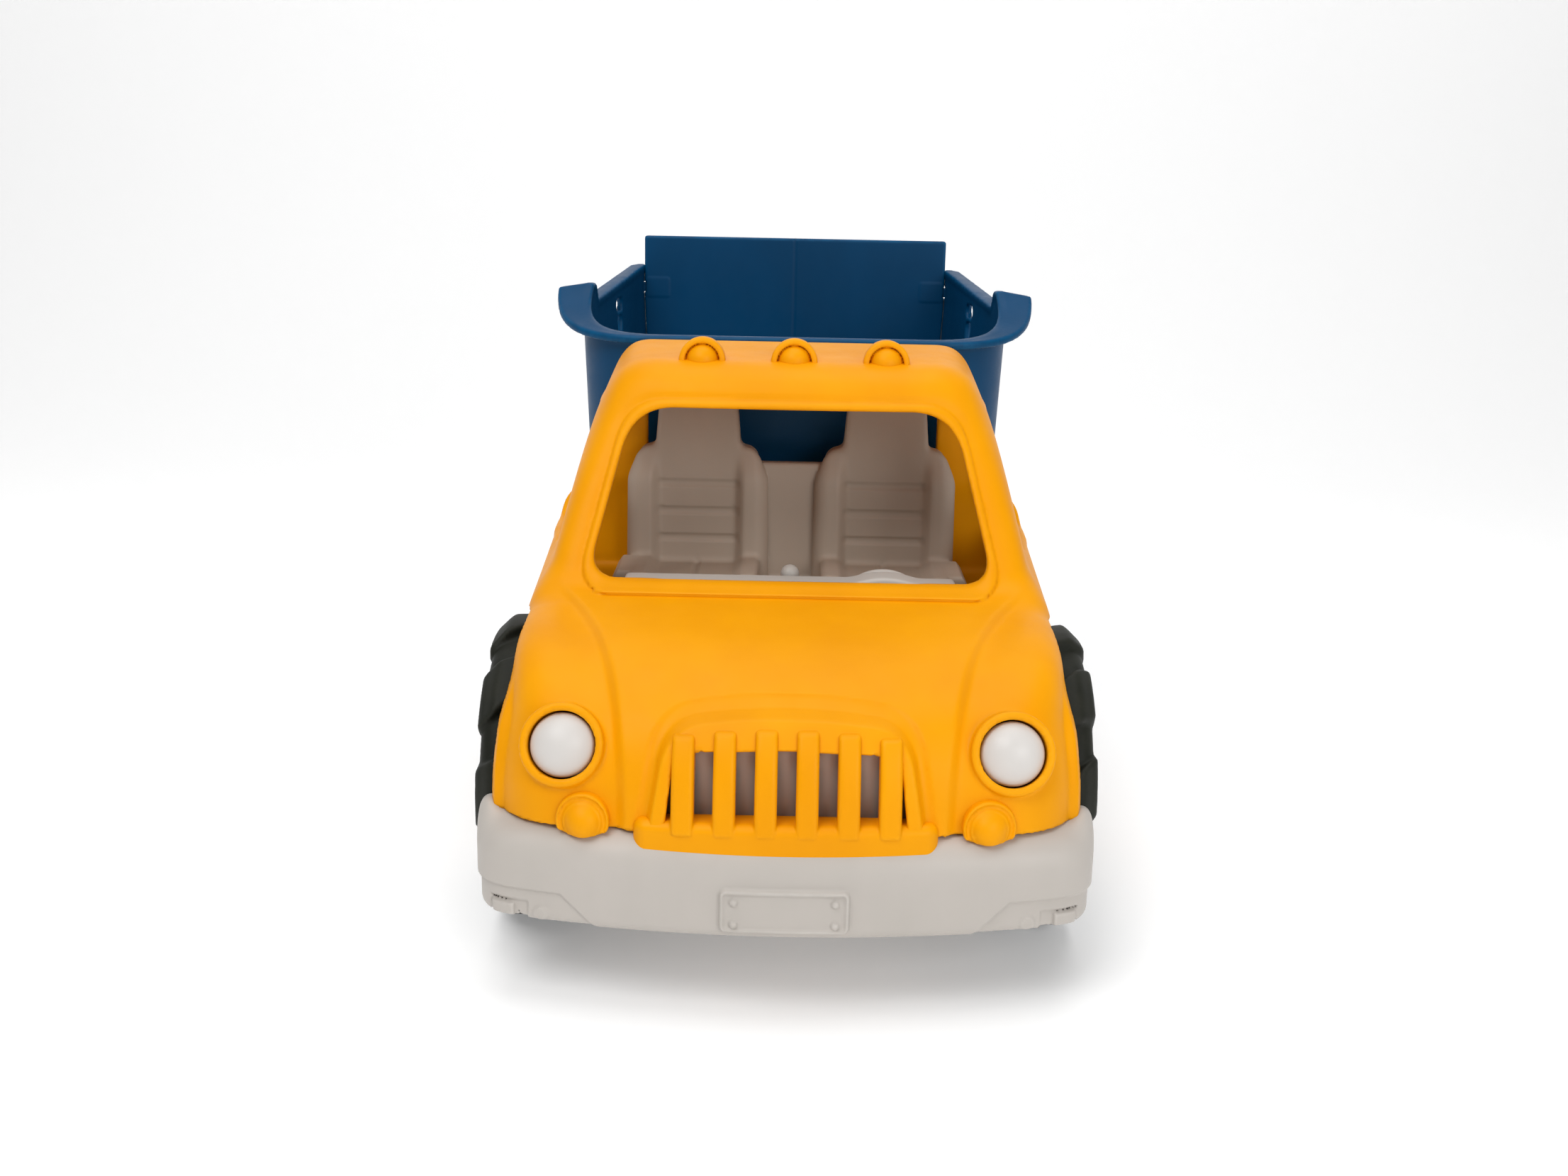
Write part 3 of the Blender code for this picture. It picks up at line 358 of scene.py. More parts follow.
def rubber(name, colour, dusty):
    made = Shader(name)
    grain = made.noise(1300.0, 3.0, 0.65)
    patches = made.noise(60.0, 4.0, 0.6)
    dusted = made.ranged(patches, 0.42, 0.70, 0.0, 0.6)
    dust = made.math("MULTIPLY", dusted, made.ranged(grain, 0.3, 0.7, 0.5, 1.0))
    base = made.mix(dust, colour, dusty)
    base = made.mix(made.math("MULTIPLY", made.edges(0.51, 0.60), 0.45), base, dusty)
    relief = made.bump(grain, 0.35, 0.0001)
    rough = made.ranged(patches, 0.3, 0.7, 0.5, 0.68)
    made.set(Base_Color=base, Roughness=rough, Normal=relief, Specular_IOR_Level=0.2)
    return made.material


def metal(name, colour):
    made = Shader(name)
    lines = made.noise(700.0, 3.0, 0.6, (0.08, 1.0, 1.0))
    patches = made.noise(240.0, 3.0, 0.5)
    base = made.mix(made.ranged(patches, 0.35, 0.65, 0.0, 1.0), colour, tuple(0.8 * c for c in colour))
    made.set(Base_Color=base, Metallic=1.0, Roughness=made.ranged(lines, 0.3, 0.7, 0.22, 0.40))
    made.set(Normal=made.bump(lines, 0.15, 0.00005))
    return made.material


# Cab ------------------------------------------------------------------------


def lower_body(a, y, z):
    """The hood and fenders as one soft block."""
    bow = 5.0 * (a / 71.0) ** 2
    front = (8.5 + 0.16 * (z - 59.3) + bow - y) * 0.985
    nose = -0.655 * (y - 23.5 - bow) + 0.756 * (z - 95.5)
    hood = (z - 109.0 - 0.192 * (y - 53.0)) * 0.982
    side = a - 94.3 + 0.05 * np.maximum(z - 70.0, 0.0)
    shape = smax(smax(front, nose, 12.0), hood, 12.0)
    shape = smax(shape, side, 27.0 - 13.0 * ease(z, 85.0, 108.0))
    return smax(shape, y - CAB_REAR, 8.0)


def cabin(a, y, z):
    """The upright part, with its leaning windscreen and the visor above it."""
    screen = (94.5 + 0.571 * (z - 117.0) + 0.0004 * a * a - y) * 0.868
    visor = 126.2 + 0.0006 * a * a - y
    roof = z - 190.8 - 0.045 * (y - 145.0)
    side = (a - 85.0 + 0.225 * (z - 122.8)) * 0.976
    shoulder = 0.793 * (a - 64.5) + 0.61 * (z - 190.5) + 0.10 * (160.0 - y)
    shape = smax(smin(screen, visor, 5.0), smax(roof, shoulder, 9.0), 18.0)
    shape = smax(shape, side, 9.0)
    return smax(smax(shape, y - CAB_REAR, 8.0), 100.0 - z, 1.0)


def crease(a, y, z):
    """How far the surface dips along the line between the hood and each fender."""
    along = np.maximum(y - 12.0, 0.0)
    d = a - (52.3 + 0.21 * along + 2.2e-5 * along**3)
    dip = np.where(d > 0.6, np.exp(-(((d - 0.6) / 11.0) ** 2)), ease(d, -3.0, 0.6))
    return 1.9 * dip * (1 - ease(y, 84.0, 98.0))


def screen_outline(a, z):
    """Distance outside the windscreen opening, seen from the front."""
    side = (a - 71.5 + 0.245 * (z - 119.0)) * 0.971
    return smax(side, np.abs(z - 147.0) - 28.2, 11.0 + 4.0 * ease(z, 132.0, 160.0))


def side_outline(y, z):
    """Distance outside the side windows, seen from the side."""
    front = (129.0 + 0.45 * (z - 122.0) - y) * 0.912
    return smax(smax(front, y - 186.0, 8.0), np.abs(z - 147.5) - 24.5, 9.0)


def grille_surround(a, z):
    """Distance outside the raised band round the grille."""
    side = a - 44.0 + 0.165 * (z - 60.0)
    return smax(side, z - 96.0 + 3.2 * (a / 38.0) ** 2, 11.0)


def grille_opening(a, z):
    """Distance outside the opening behind the slats."""
    side = a - 37.5 + 0.12 * (z - 63.0)
    return smax(smax(side, z - 86.0 + 1.5 * (a / 35.0) ** 2, 4.0), 60.0 - z, 2.0)


def lamp_place(a, y, z):
    """Distance outwards along a headlamp's axis, and from that axis."""
    u, v, w = a - LAMP_MIDDLE[0], y - LAMP_MIDDLE[1], z - LAMP_MIDDLE[2]
    out = u * LAMP_NORMAL[0] + v * LAMP_NORMAL[1] + w * LAMP_NORMAL[2]
    return out, np.sqrt(np.maximum(u * u + v * v + w * w - out * out, 0.0))


def bumper_face(a, y):
    """The bumper's bowed front and its round corners, at any height."""
    return smax(1.2 + a * a / 714.0 - y, a - BUMPER_HALF, 14.0)


def bumper_ends(face, a, y, z):
    """Closes the bumper's upright face by its top, its lower edge and its back."""
    top = z - BUMPER_TOP - 2.6 * ease(a, 90.0, 96.0) * ease(y, 18.0, 32.0)
    shape = smax(face, top, 14.0 - 9.0 * ease(y, 20.0, 33.0))
    return smax(smax(shape, BUMPER_FOOT - z, 3.5), y - BUMPER_BACK, 1.5)


def cab_field(x, y, z):
    """The cab's thin shell, with its beads, lamp rings, openings, wheel arches and bosses."""
    a = np.abs(x)
    lower = lower_body(a, y, z)
    upper = cabin(a, y, z)
    dented = smin(lower + crease(a, y, z), upper, 5.0)
    # Relief on the outside
    frame = grille_surround(a, z)
    surround = 3.4 * (1 - ease(frame, -1.8, 0.2)) - ridge(frame, 1.5, 1.7, 0.6)
    surround = surround * (1 - ease(y, 35.0, 45.0))
    wheel = np.hypot(y - FRONT_AXLE, z - AXLE_HEIGHT)
    flare = 1.9 * (1 - ease(wheel, 59.6, 61.4)) * ease(a, 78.0, 84.0) * (1 - ease(z, 84.0, 100.0))
    outer = dented - surround - flare
    screen = screen_outline(a, z)
    window = side_outline(y, z)
    front = (1 - ease(y, 140.0, 150.0)) * (z > 112)
    sunk = 0.25 * (1 - ease(screen, 3.2, 6.0)) * (screen > 3.0)
    outer = outer - (ridge(screen, 1.4, 1.6, 1.2) - sunk) * front
    outer = outer - ridge(window, 1.4, 1.6, 0.45) * ease(a, 60.0, 64.0) * ease(y, 152.0, 162.0)
    out, around = lamp_place(a, y, z)
    ring = solid(around - 13.3, slab(out, -8.0, 1.5), 1.0)
    outer = smin(outer, ring, 1.0)
    # Hollow, openings and arches
    shell = solid(outer, -(dented + CAB_WALL), 0.4)
    shell = solid(shell, CAB_FOOT - z, 0.4)
    shell = solid(shell, -np.maximum(screen, y - 152.0), 0.5)
    shell = solid(shell, -np.maximum(window, 55.0 - a), 0.5)
    rear = smax(a - 58.0, np.abs(z - 150.0) - 31.0, 8.0)
    shell = solid(shell, -np.maximum(rear, 185.0 - y), 0.4)
    shell = solid(shell, -np.maximum(wheel - ARCH_RADIUS, 62.0 - a), 0.4)
    shell = solid(shell, -np.maximum(grille_opening(a, z), y - 40.0), 0.4)
    shell = np.maximum(shell, -np.maximum(around - 10.7, np.abs(out) - 20.0))
    for boss_x, boss_y in ((48.0, 58.0), (50.0, 192.5)):
        boss = np.maximum(np.hypot(a - boss_x, y - boss_y) - 4.2, slab(z, DECK, 107.0))
        shell = np.minimum(shell, boss)
    way = np.maximum(np.maximum(a - 56.5, slab(y, 185.0, 200.0)), z - DECK)
    return np.maximum(shell, -way)


def grille_field(x, y, z):
    """The slats, and the curved bar under them."""
    a = np.abs(x)
    face = lower_body(a, y, z)
    nearest = SLAT_FIRST + SLAT_PITCH * np.clip(np.round((a - SLAT_FIRST) / SLAT_PITCH), 0, 2)
    slat = solid(np.abs(a - nearest) - 3.5, slab(face, -4.5, 5.2), 1.5)
    slat = solid(slat, slab(z, 60.5, 92.0 - 1.9 * (nearest / 32.0) ** 2), 1.2)
    front = 3.9 + 0.0016 * a * a
    bar = solid(np.maximum(front - y, y - 17.0), a - 47.4, 4.0)
    bar = solid(bar, slab(z, 48.0, 64.4), 3.2)
    return np.minimum(slat, bar)


def fog_lamp_field(x, y, z):
    """Shallow domes on raised rings, which stand on the bumper."""
    a = np.abs(x)
    u, w = a - 63.4, z - 62.4
    around = np.hypot(u, w)
    face = lower_body(a, y, z)
    ring = solid(around - 8.5, slab(face, -5.0, 1.9), 1.2)
    dome = np.sqrt(around**2 + (face + 1.6) ** 2) - 6.6
    groove = ridge(around, 6.9, 0.8, 0.8)
    lamp = smin(ring + groove * (face > 0.5), dome, 0.5)
    return smax(lamp, 57.4 + 0.03 * u * u - z, 1.0)


def roof_lamp_field(x, y, z):
    """Three lamps, each a dome under a hood that narrows backwards."""
    a = np.abs(x)
    u = np.abs(np.where(a > 17.0, a - 33.9, a))
    w = z - 190.3
    around = np.hypot(u, w)
    back = np.clip((y - 144.0) / 22.0, 0.0, 1.0)
    hood = solid(around - 8.6 + 8.6 * (1 - np.sqrt(1 - 0.98 * back**2)), 141.5 + 0.18 * w - y, 1.0)
    hood = np.maximum(hood, y - 165.0)
    hood = solid(hood, -solid(around - 6.4, y - 145.5, 0.3), 0.7)
    dome = np.sqrt(u * u + w * w + (y - 145.5) ** 2) - 6.1
    return np.maximum(smin(hood, dome, 0.5), 186.0 - z)


def headlamp_field(side):
    def field(x, y, z):
        out, around = lamp_place(x * side, y, z)
        dome = np.sqrt(around**2 + (out + 9.2) ** 2) - 13.2
        return solid(solid(around - 10.2, dome, 0.8), -6.0 - out, 0.3)

    return field


# Chassis --------------------------------------------------------------------


def bumper_field(x, y, z):
    """The bumper's thin wall with its moulded panel, markers and number plate."""
    a = np.abs(x)
    panel = np.maximum(z - 39.6 - 0.02 * (a - 70.0), (58.6 - a + (z - 29.0) * 1.09) * 0.68)
    relief = -1.0 * (1 - ease(panel, -0.9, 0.0))
    pocket = np.maximum(slab(a, 80.6, 93.0), z - 35.4)
    relief = relief - 0.7 * (1 - ease(pocket, -0.4, 0.2))
    marker = np.maximum(slab(a, 84.9, 92.6), slab(z, 29.9, 34.4))
    relief = relief + 1.6 * (1 - ease(marker, -0.5, 0.2))
    relief = relief + 0.6 * (1 - ease(np.hypot(a - 76.5, z - 31.6) - 2.6, -0.5, 0.2))
    plate = solid(a - 20.4, slab(z, 30.8, 45.4), 2.4)
    relief = relief + 1.7 * (1 - ease(plate, -0.8, 0.2)) - 0.8 * (1 - ease(plate, -2.0, -1.2))
    turn = np.arctan2(z - PLATE_MIDDLE - 3.6 * np.sign(z - PLATE_MIDDLE), a - 15.7) / (math.pi / 3)
    flat = np.cos((turn - np.round(turn)) * math.pi / 3)
    bolt = np.hypot(a - 15.7, np.abs(z - PLATE_MIDDLE) - 3.6) * flat - 1.3
    relief = relief + 1.1 * (1 - ease(bolt, -0.4, 0.1))
    outer = bumper_ends(bumper_face(a, y) - relief, a, y, z)
    inner = smax(smax(3.8 + a * a / 714.0 - y, a - 96.2, 12.0), z - 56.7, 10.0)
    return solid(outer, -inner, 0.4)


def frame_field(x, y, z):
    """The tray, side steps, radiator and hinge brackets."""
    a = np.abs(x)
    tray = block(a, y, z, (-80.0, 29.0, 38.0), (56.0, 330.0, 72.0), 1.6)
    tray = solid(tray, -block(a, y, z, (-80.0, 37.0, 20.0), (53.2, 327.2, 69.2), 0.8), 0.4)
    step = block(a, y, z, (50.0, 144.5, 44.0), (91.0, 202.5, 59.0), 2.5)
    treads = ridge((y - 150.0) % 7.0, 3.5, 1.6, 0.8) * slab(a, 62.0, 86.0).clip(-1, 0) * -1
    step = step - treads * (z > 57.0) * (1 - (slab(y, 150.0, 198.0) > 0))
    step = solid(step, -block(a, y, z, (56.5, 147.3, 20.0), (88.2, 199.7, 56.2), 0.8), 0.4)
    shape = smin(tray, step, 2.0)
    rib = SLAT_PITCH * np.round(a / SLAT_PITCH)
    column = np.sqrt((a - rib) ** 2 + (y - 23.5) ** 2) - 5.4
    column = np.maximum(column, a - 33.0)
    panel = solid(a - 40.0 + 0.075 * (z - 50.0), slab(y, 22.5, 33.8), 0.6)
    radiator = solid(smin(panel, column, 1.0), slab(z, 50.0, 90.0), 1.2)
    shape = np.minimum(shape, np.maximum(radiator, y - 33.8))
    ear = from_axis(y, z, BED_AXIS) - 8.0
    web = np.maximum(np.maximum((np.abs(y - 312.0) - 8.0 - 0.27 * (90.0 - z)) * 0.96, z - 90.0), 68.0 - z)
    ear = solid(np.minimum(ear, web), slab(a, 40.5, 46.5), 0.8)
    shape = smin(shape, ear, 1.0)
    holes = from_axis(y, z, BED_AXIS) - AXLE_BORE
    for axle in (FRONT_AXLE, REAR_AXLE):
        holes = np.minimum(holes, np.hypot(y - axle, z - AXLE_HEIGHT) - AXLE_BORE)
    return np.maximum(shape, -holes)


# Cab interior ---------------------------------------------------------------


def seat_field(x, y, z):
    """Two bucket seats, the wall and console between them, and the floor."""
    a = np.abs(x)
    m = np.abs(a - SEAT_MIDDLE)
    floor = block(a, y, z, (-80.0, 105.0, DECK), (64.0, 188.0, 74.8), 0.5)
    torso = solid(m - 24.8 + 0.012 * (z - 75.0), slab(z, 74.0, 152.5), 5.5)
    head = solid(m - 16.6 + 0.085 * (z - 155.0), slab(z, 130.0, 175.6), 4.5)
    outline = smin(torso, head, 3.0)
    back = solid(outline, slab(y, 178.0, 188.0), 2.2)
    pad = 3.8 * ease(m, 14.0, 19.0) * (1 - ease(z, 138.0, 152.0))
    channel = 0.0
    for level in (116.0, 127.0, 138.0):
        channel = channel + ridge(z, level, 1.6, 0.8)
    channel = channel * (1 - ease(m, 15.5, 17.0))
    back = back - (pad - channel) * (1 - ease(y, 180.0, 184.0)) * (m < 30)
    cushion = solid(m - 25.0, slab(y, 144.0, 181.0), 5.0)
    lift = 3.2 * ease(m, 14.0, 19.0) - ridge(m, 0.0, 1.2, 0.8) * ease(y, 148.0, 150.0)
    cushion = solid(cushion, slab(z - lift, 60.0, 106.0), 2.6)
    cushion = np.maximum(cushion, 74.0 - z)
    seats = smin(back, cushion, 2.5)
    wall = block(a, y, z, (-30.0, 181.0, 74.0), (16.5, 187.0, 146.0), 1.5)
    console = block(a, y, z, (-30.0, 128.0, 74.0), (15.0, 182.0, 100.0), 2.5)
    boot = np.maximum(np.hypot(x, y - LEVER_Y) - 5.0 + 1.2 * (z - 100.0), slab(z, 98.0, 102.4)) * 0.7
    shape = np.minimum(np.minimum(floor, seats), smin(wall, smin(console, boot, 1.0), 1.5))
    ledge = block(a, y, z, (60.0, 148.0, 101.0), (68.0, 176.0, 109.0), 1.5)
    shape = np.minimum(shape, np.maximum(ledge, (z - 109.0) * 0.6 + 0.8 * (a - 66.0)))
    socket = np.maximum(np.hypot(x, y - LEVER_Y) - 1.8, 92.0 - z)
    return np.maximum(shape, -socket)


def dashboard_field(x, y, z):
    """A leaning shelf with vents, a cowl and the stub for the steering wheel."""
    a = np.abs(x)
    lean = np.maximum((y - 115.0 - 0.115 * (z - 82.0)), (104.5 - y))
    foot = (82.0 - z + 2.0 * np.maximum(0.0, 110.0 - y)) * 0.6
    body = solid(solid(lean, slab(z, 70.0, 116.0), 1.8), a - 60.0, 1.8)
    body = np.maximum(body, foot)
    cowl = solid(np.hypot((x - 34.0) / 2.1, z - 111.2) * 1.3 - 9.6, slab(y, 105.3, 117.0), 1.5)
    shape = smin(body, np.maximum(cowl, 105.0 - z), 2.0)
    vent = np.maximum(np.abs(np.abs(x + 24.0) - 14.0) - 9.0, np.abs(z - 108.0) - 2.6)
    slots = np.maximum(vent, np.abs(((z - 105.2) % 2.6) - 1.3) - 0.6)
    shape = np.maximum(shape, -np.maximum(slots, 116.0 - y))
    out, around = steer_place(x, y, z)
    stub = np.minimum(
        np.maximum(around - 4.2, slab(out, -12.0, 0.0)), np.maximum(around - 1.8, slab(out, -12.0, 4.5))
    )
    return np.minimum(shape, stub)


def steer_place(x, y, z):
    """Distance along the steering column, and from it."""
    u, v, w = x - STEER_MIDDLE[0], y - STEER_MIDDLE[1], z - STEER_MIDDLE[2]
    out = v * math.cos(STEER_RAKE) + w * math.sin(STEER_RAKE)
    return out, np.sqrt(np.maximum(u * u + v * v + w * w - out * out, 0.0))


def steering_field(x, y, z):
    """A ring, hub and three spokes round the column."""
    out, around = steer_place(x, y, z)
    across = x - STEER_MIDDLE[0]
    up = -(y - STEER_MIDDLE[1]) * math.sin(STEER_RAKE) + (z - STEER_MIDDLE[2]) * math.cos(STEER_RAKE)
    rim = np.hypot(around - 13.5, out - 5.5) - 1.75
    hub = solid(around - 4.6 + 0.25 * (out - 4.0), slab(out, 0.3, 7.6), 0.9)
    shape = np.minimum(rim, hub)
    for angle in (90, 210, 330):
        c, s = math.cos(math.radians(angle)), math.sin(math.radians(angle))
        along, beside = across * c + up * s, -across * s + up * c
        spoke = solid(np.abs(beside) - 1.7, slab(out, 4.2, 6.6), 0.7)
        shape = smin(shape, np.maximum(spoke, slab(along, 2.0, 13.0)), 0.8)
    return np.maximum(shape, -np.maximum(around - 2.1, out - 5.1))


def lever_field(x, y, z):
    """A stick with a ball."""
    around = np.hypot(x, y - LEVER_Y)
    ball = np.sqrt(around**2 + (z - 112.2) ** 2) - 3.5
    stick = np.maximum(around - 1.45, slab(z, 92.5, 112.0))
    return smin(ball, stick, 0.8)


# Wheels ---------------------------------------------------------------------


def tyre_field(x, y, z):
    """x is the distance outwards from the wheel's own middle."""
    r = np.hypot(y, z)
    angle = np.arctan2(y, z)
    crown = 49.6 - 0.004 * x * x
    tyre = solid(np.abs(x) - TYRE_HALF, r - crown, 5.0)
    # Sunk band on each wall, between the bead and the shoulder
    tyre = tyre + 0.9 * (1 - ease(np.abs(r - 38.5), 4.0, 5.6)) * ease(np.abs(x), 12.0, 14.0)
    pitch = 2 * math.pi / LUGS
    tread = 1e3
    for hand, shift in ((1, 0.0), (-1, 0.5)):
        u = x * hand
        slant = 0.16 * (1 - u / 12.0)
        turn = angle / pitch + slant / pitch - shift
        beside = np.abs(turn - np.round(turn)) * pitch * r
        half = 8.8 + 1.6 * ease(u, 4.0, 14.0)
        top = TREAD_RADIUS - 5.0 * ease(u, 12.0, 19.5)
        flat = solid(beside - half, slab(u, -1.5, 18.7), 2.0)
        lug = solid(flat, slab(r, 42.0, top), 1.6)
        tread = np.minimum(tread, lug)
    shape = smin(tyre, tread, 1.6)
    hollow = solid(slab(r, 33.3, 44.4), x - 14.0 + 0.35 * np.maximum(r - 40.0, 0.0), 1.5)
    return np.maximum(solid(shape, -hollow, 0.6), 30.3 - r)


def rim_field(x, y, z):
    """Barrel, lip, ribbed disc with six holes, and hub."""
    r = np.hypot(y, z)
    barrel = solid(slab(r, 27.0, 30.0), np.abs(x) - 16.0, 0.7)
    lip = np.hypot(r - 28.0, x - 15.4) - 1.7
    angle = np.arctan2(y, z)
    spokes = np.cos(6 * angle)
    spoke = 1.1 * ease(spokes, -0.2, 0.6) * ease(r, 10.0, 13.0) * (1 - ease(r, 22, 25))
    face = 4.0 - 0.012 * (r - 12.0) ** 2 + spoke
    disc = solid(slab(x, 2.0, 6.2), slab(r, 2.8, 28.0), 0.6)
    disc = np.maximum(disc, (x - face - 2.0) * 0.9)
    hub = solid(slab(r, 2.8, 9.0 - 0.1 * (x - 6.0)), slab(x, -16.0, 9.9), 0.7)
    shape = np.minimum(np.minimum(barrel, np.maximum(lip, r - 30.0)), smin(disc, hub, 1.5))
    sixth = math.pi / 3
    turn = angle / sixth
    off = (turn - np.round(turn)) * sixth
    hole = np.hypot(r * np.cos(off) - 17.6, r * np.sin(off)) - 3.7
    return solid(shape, -np.maximum(hole, -1.0 - x), 0.6)


def cap_field(x, y, z):
    """A small domed cap over the axle's end."""
    r = np.hypot(y, z)
    dome = np.sqrt(r * r + (x + 6.0) ** 2) - 21.7
    cap = solid(solid(r - 7.4, dome, 0.9), 10.3 - x, 0.3)
    cap = cap + 0.5 * (1 - ease(np.abs(r - 4.6), 0.3, 0.7)) * ease(x, 12.0, 13.0)
    return np.maximum(cap, -np.maximum(r - 2.8, x - 15.3))


# Bed ------------------------------------------------------------------------


def bed_plan(a, y, z):
    """Distance outside the bed's wall, which leans out a little towards its top."""
    side = (a - 88.2 + 0.145 * (y - CORNER_MIDDLE[1])) * 0.990
    return solid(BED_FRONT - y, side, 40.0) + 3.5 * (1 - np.clip((z - 113.0) / 84.0, 0.0, 1.0))


def bed_turn(a, y):
    """Share of the way round the front corner: 0 on the front wall, 1 on the side wall."""
    share = np.arctan2(a - CORNER_MIDDLE[0], CORNER_MIDDLE[1] - y) / (math.pi / 2)
    return np.clip(share, 0.0, 1.0) * (a > 30.0)


def bed_rim(turn, y):
    """Height of the top edge: low across the front, up to the ears, then along the side rails."""
    share = ease(y, 248.5, 253.0)
    return (193.0 + 17.0 * turn**3.5) * (1 - share) + (203.5 + 0.106 * np.maximum(y - 254.5, 0.0)) * share


def bed_field(x, y, z):
    """The open tub, with its flange, ribs, side slots, rails and pin bosses."""
    a = np.abs(x)
    out = bed_plan(a, y, z)
    turn = bed_turn(a, y)
    rim = bed_rim(turn, y)
    wall = np.maximum(slab(out, -BED_WALL, 0.0), np.maximum(111.99 - z, z - rim + 0.8))
    ear = turn**1.6 * (1 - ease(y, 247.5, 252.5))
    flange = 2.4 + 2.1 * ease(y, 250.0, 254.0) + 9.4 * ear
    top = rim - 0.16 * np.maximum(out, 0.0)
    lip = solid(slab(out, -BED_WALL, flange), slab(z, top - 3.2, top) * 0.9, 1.0)
    shell = smin(wall, lip, 1.5)
    shell = solid(shell, y - 340.4, 0.8)
    floor = np.maximum(np.maximum(out + 0.5, slab(z, BED_FLOOR, 115.0)), y - 337.1)
    shape = smin(shell, floor, 1.5)
    for station in (250.0, 272.0, 315.0):
        rib = solid(solid(np.abs(y - station) - 2.6, out - 1.6, 1.0), slab(z, 118.0, 192.0), 1.4)
        shape = smin(shape, np.maximum(rib, -out - 2.0), 0.8)
    rail_end = from_axis(y, z, BED_AXIS) - 7.5
    rail = np.maximum(slab(y, 215.0, 312.0), slab(z, 72.3, 113.0))
    rail = np.maximum(rail, np.where((y > 298.0) & (z < 90.0), 0.72 * (y - 300.5) - 0.7 * (z - 72.3), -9.0))
    lug = np.minimum(rail_end, np.maximum(slab(y, 304.0, 319.5), slab(z, 90.0, 113.0)))
    shape = smin(shape, solid(np.minimum(rail, lug), slab(a, 35.5, 40.0), 0.8), 1.2)
    boss = solid(from_axis(y, z, GATE_AXIS) - 5.0, slab(a, 72.6, 76.5), 0.8)
    boss = np.maximum(boss, 337.4 - y)
    shape = smin(shape, boss, 0.8)
    slot = np.minimum(
        solid(np.abs(y - 290.0) - 3.2 - 0.16 * (z - 183.0), slab(z, 174.0, 192.5), 3.0),
        solid(np.abs(y - 290.0) - 5.8, slab(z, 194.6, 200.2), 2.6),
    )
    shape = solid(shape, -slot, 0.5)
    holes = np.minimum(from_axis(y, z, BED_AXIS) - AXLE_BORE, from_axis(y, z, GATE_AXIS) - GATE_BORE)
    return np.maximum(shape, -holes)


def tailgate_field(x, y, z):
    """The flat door with its ribs and bosses."""
    a = np.abs(x)
    half = 67.8 + 3.7 * np.clip((z - BED_FLOOR) / 85.0, 0.0, 1.0)
    plate = solid(solid(a - half, slab(z, BED_FLOOR, 226.0), 1.2), slab(y, 337.5, 340.5), 0.7)
    seam = 0.5 * (1 - ease(a, 0.2, 0.7)) * (y < 339)
    plate = plate + seam
    level = 121.7 + 37.0 * np.clip(np.round((z - 121.7) / 37.0), 0, 2)
    rib = solid(solid(a - 52.0, np.abs(z - level) - 1.75, 0.9), slab(y, 339.0, 345.0), 0.9)
    boss = np.maximum(solid(from_axis(y, z, GATE_AXIS) - 4.5, slab(a, 60.0, 70.3), 0.8), 337.6 - y)
    shape = smin(smin(plate, rib, 1.0), boss, 1.0)
    pin = np.maximum(from_axis(y, z, GATE_AXIS) - GATE_BORE, np.maximum(62.2 - a, 338.0 - y))
    return np.maximum(shape, -pin)


def pins_field(x, y, z):
    """The tailgate's two hinge pins, flat on the side that faces into the bed."""
    pin = solid(from_axis(y, z, GATE_AXIS) - 2.2, slab(np.abs(x), 62.4, 77.6), 0.5)
    return solid(pin, 338.1 - y, 0.2)


# The truck ------------------------------------------------------------------


def add_wheels(materials):
    kinds = (
        ("tyre", tyre_field, (-19.2, -53.3, -53.3), (19.2, 53.3, 53.3), 0.9, "black_rubber"),
        ("rim", rim_field, (-16.2, -30.2, -30.2), (17.3, 30.2, 30.2), 0.65, "grey_plastic"),
        ("hub_cap", cap_field, (10.0, -7.6, -7.6), (16.0, 7.6, 7.6), 0.4, "grey_plastic"),
    )
    for kind, field, low, high, step, slot in kinds:
        points, quads = surface(field, low, high, step)
        for place, axle in (("front", FRONT_AXLE), ("rear", REAR_AXLE)):
            for hand, side in (("right", -1), ("left", 1)):
                turned = points * (side, side, 1.0) + (side * WHEEL_MIDDLE, axle, AXLE_HEIGHT)
                made = add_mesh(f"{place}_{kind}_{hand}_skin", turned, quads, materials[slot])
                dress(made, f"{place}_wheels", materials[slot], f"{place}_{kind}_{hand}")


